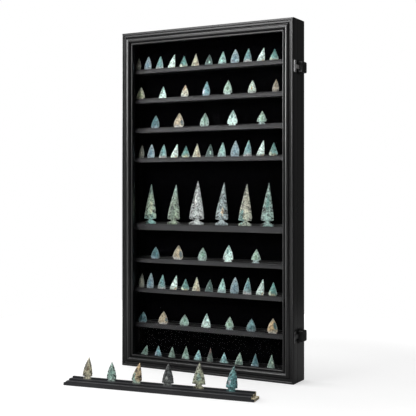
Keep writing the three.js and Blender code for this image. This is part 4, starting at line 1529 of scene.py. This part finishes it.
# Place, target and size of each softbox, in metres
SOFTBOXES = {
    "left": ((-1.7, -1.06, 0.88), (0, 0, 0.7), (0.6, 0.56)),
    "side": ((-1.9, -0.07, 0.88), (0, 0, 0.7), (1.3, 0.56)),
    "low": ((-1.85, -0.6, 0.15), (0, 0, 0.3), (1.8, 0.7)),
    "top": ((-0.1, 0.1, 2.2), (-0.1, 0, 0.5), (1.2, 1.2)),
    "front": ((-0.52, -1.2, 1.2), (0, 0, 0.45), (0.7, 0.5)),
}
CAMERA_PLACE = (0.9119, -1.65125, 0.3886)
CAMERA_TURN = (90, 0, 29)  # in degrees
CAMERA_SHIFT = -0.0522
SENSOR_WIDTH = 36.0
FLOOR = [[-900, -620, -0.3], [900, -620, -0.3], [900, 900, -0.3], [-900, 900, -0.3]]
FLOOR_SEEN = (0.5, 0.5, 0.5, 1)
FLOOR_FELT = (0.22, 0.22, 0.22, 1)  # the floor's colour in the light that it gives back
GLOW_MIDDLE = (0.1, 0.1, 0)
TABLE_WAY = (-0.12, -0.82, -0.56)  # from the case down to the bright part of the table in front


def area_lamp(name, place, target, size, power):
    """A soft rectangular lamp that faces a target."""
    data = bpy.data.lights.new(name, "AREA")
    data.shape = "RECTANGLE"
    data.size, data.size_y = size
    data.energy = power
    lamp = bpy.data.objects.new(name, data)
    lamp.location = place
    way = Vector(target) - Vector(place)
    lamp.rotation_euler = way.to_track_quat("-Z", "Y").to_euler()
    bpy.context.scene.collection.objects.link(lamp)


def seen_rays(graph):
    """1 for the camera's rays, also through the clear sheet, and 1 for rays that left a glossy
    surface before any matt one."""
    path = graph.node("LightPath")
    glossy = graph.calc("MINIMUM", path.outputs["Glossy Depth"], 1.0)
    matt = graph.calc("MINIMUM", path.outputs["Diffuse Depth"], 1.0)
    first = graph.calc("SUBTRACT", 1.0, matt)
    straight = graph.calc("MAXIMUM", path.outputs["Is Camera Ray"], path.outputs["Is Transmission Ray"])
    clean = graph.calc("MULTIPLY", first, graph.calc("SUBTRACT", 1.0, glossy))
    return graph.calc("MULTIPLY", straight, clean), graph.calc("MULTIPLY", glossy, first)


def white_floor():
    """A pale floor that keeps the shadows, glows a little to the eye, more so far away, and shows
    in glossy surfaces only in front of the case."""
    material, graph, shader = new_material("floor_white")
    shader.inputs["Roughness"].default_value = 0.9
    shader.inputs["Specular IOR Level"].default_value = 0.0
    seen, glossy = seen_rays(graph)
    graph.join(graph.blend(seen, FLOOR_FELT, FLOOR_SEEN), shader.inputs["Base Color"])
    depth = graph.node("SeparateXYZ", {0: graph.place()}).outputs[1]
    front = graph.remap(depth, -0.08, -0.3, 0.02, 0.3)
    away = graph.node("VectorMath", {0: graph.place(), 1: GLOW_MIDDLE}, operation="DISTANCE")
    spread = graph.remap(away.outputs["Value"], 0.3, 0.9, 0.55, 0.95)
    level = graph.calc("ADD", graph.calc("MULTIPLY", seen, spread), graph.calc("MULTIPLY", glossy, front))
    glow = graph.node("Emission", {"Color": (1, 1, 1, 1), "Strength": level})
    both = graph.node("AddShader", {0: shader.outputs[0], 1: glow.outputs[0]})
    graph.join(both.outputs[0], graph.tree.nodes["Material Output"].inputs["Surface"])
    return material


def white_room(light):
    """White surroundings: full white to the eye, a plain fill for matt surfaces, and dim in glossy
    ones but for the bright table in front."""
    world = bpy.data.worlds.new("White room")
    world.use_nodes = True
    graph = Graph(world.node_tree)
    seen, glossy = seen_rays(graph)
    level = graph.calc("ADD", graph.calc("MULTIPLY", seen, 1 - light.fill_level), light.fill_level)
    way = graph.node("TexCoord").outputs["Generated"]
    toward = graph.node("VectorMath", {0: way, 1: TABLE_WAY}, operation="DOT_PRODUCT").outputs["Value"]
    table = graph.remap(toward, 0.88, 0.96, light.mirror_level, light.table_level)
    mirrored = graph.calc("SUBTRACT", table, light.fill_level)
    level = graph.calc("ADD", level, graph.calc("MULTIPLY", glossy, mirrored))
    background = graph.tree.nodes["Background"]
    background.inputs["Color"].default_value = (1, 1, 1, 1)
    graph.join(level, background.inputs["Strength"])
    return world


class POINTCASE_OT_stage(bpy.types.Operator):
    """The floor, the white surroundings, the lamps and the camera"""

    bl_idname = "point_case.stage"
    bl_label = "Stage"

    def execute(self, context):
        scene = context.scene
        light = scene.studio_light
        mesh_piece("floor", np.array(FLOOR), [[0, 1, 2, 3]], white_floor(), BOARD_SHARP)
        scene.world = white_room(light)
        for name, (place, target, size) in SOFTBOXES.items():
            area_lamp(name + "_softbox", place, target, size, getattr(light, name + "_power"))
        data = bpy.data.cameras.new("view")
        data.lens = light.lens
        data.sensor_width = SENSOR_WIDTH
        data.shift_y = CAMERA_SHIFT
        camera = bpy.data.objects.new("view", data)
        camera.location = CAMERA_PLACE
        camera.rotation_euler = [math.radians(angle) for angle in CAMERA_TURN]
        scene.collection.objects.link(camera)
        scene.camera = camera
        scene.view_settings.view_transform = "Standard"
        return {"FINISHED"}


OPERATORS = (
    POINTCASE_OT_boards,
    POINTCASE_OT_door,
    POINTCASE_OT_shelves,
    POINTCASE_OT_loose_shelf,
    POINTCASE_OT_hinges,
    POINTCASE_OT_locks,
    POINTCASE_OT_screws,
    POINTCASE_OT_hangers,
    POINTCASE_OT_small_points,
    POINTCASE_OT_spear_points,
    POINTCASE_OT_loose_points,
    POINTCASE_OT_stage,
)


class POINTCASE_PT_panel(bpy.types.Panel):
    """Lists the operators and the settings in the sidebar"""

    bl_label = "Display case"
    bl_idname = "POINTCASE_PT_panel"
    bl_space_type = "VIEW_3D"
    bl_region_type = "UI"
    bl_category = "Display case"

    def draw(self, context):
        for operator in OPERATORS:
            self.layout.operator(operator.bl_idname)
        for key, kind in GROUPS.items():
            for setting in kind.__annotations__:
                self.layout.prop(getattr(context.scene, key), setting)


CLASSES = (*GROUPS.values(), *OPERATORS, POINTCASE_PT_panel)


def register():
    """Registers the classes and hangs the settings on the scene."""
    for kind in CLASSES:
        bpy.utils.register_class(kind)
    for key, kind in GROUPS.items():
        setattr(bpy.types.Scene, key, PointerProperty(type=kind))


def unregister():
    """Takes the settings and the classes away again."""
    for key in GROUPS:
        delattr(bpy.types.Scene, key)
    for kind in reversed(CLASSES):
        bpy.utils.unregister_class(kind)


def main():
    register()
    for operator in OPERATORS:
        group, name = operator.bl_idname.split(".")
        getattr(getattr(bpy.ops, group), name)()


if __name__ == "__main__":
    main()
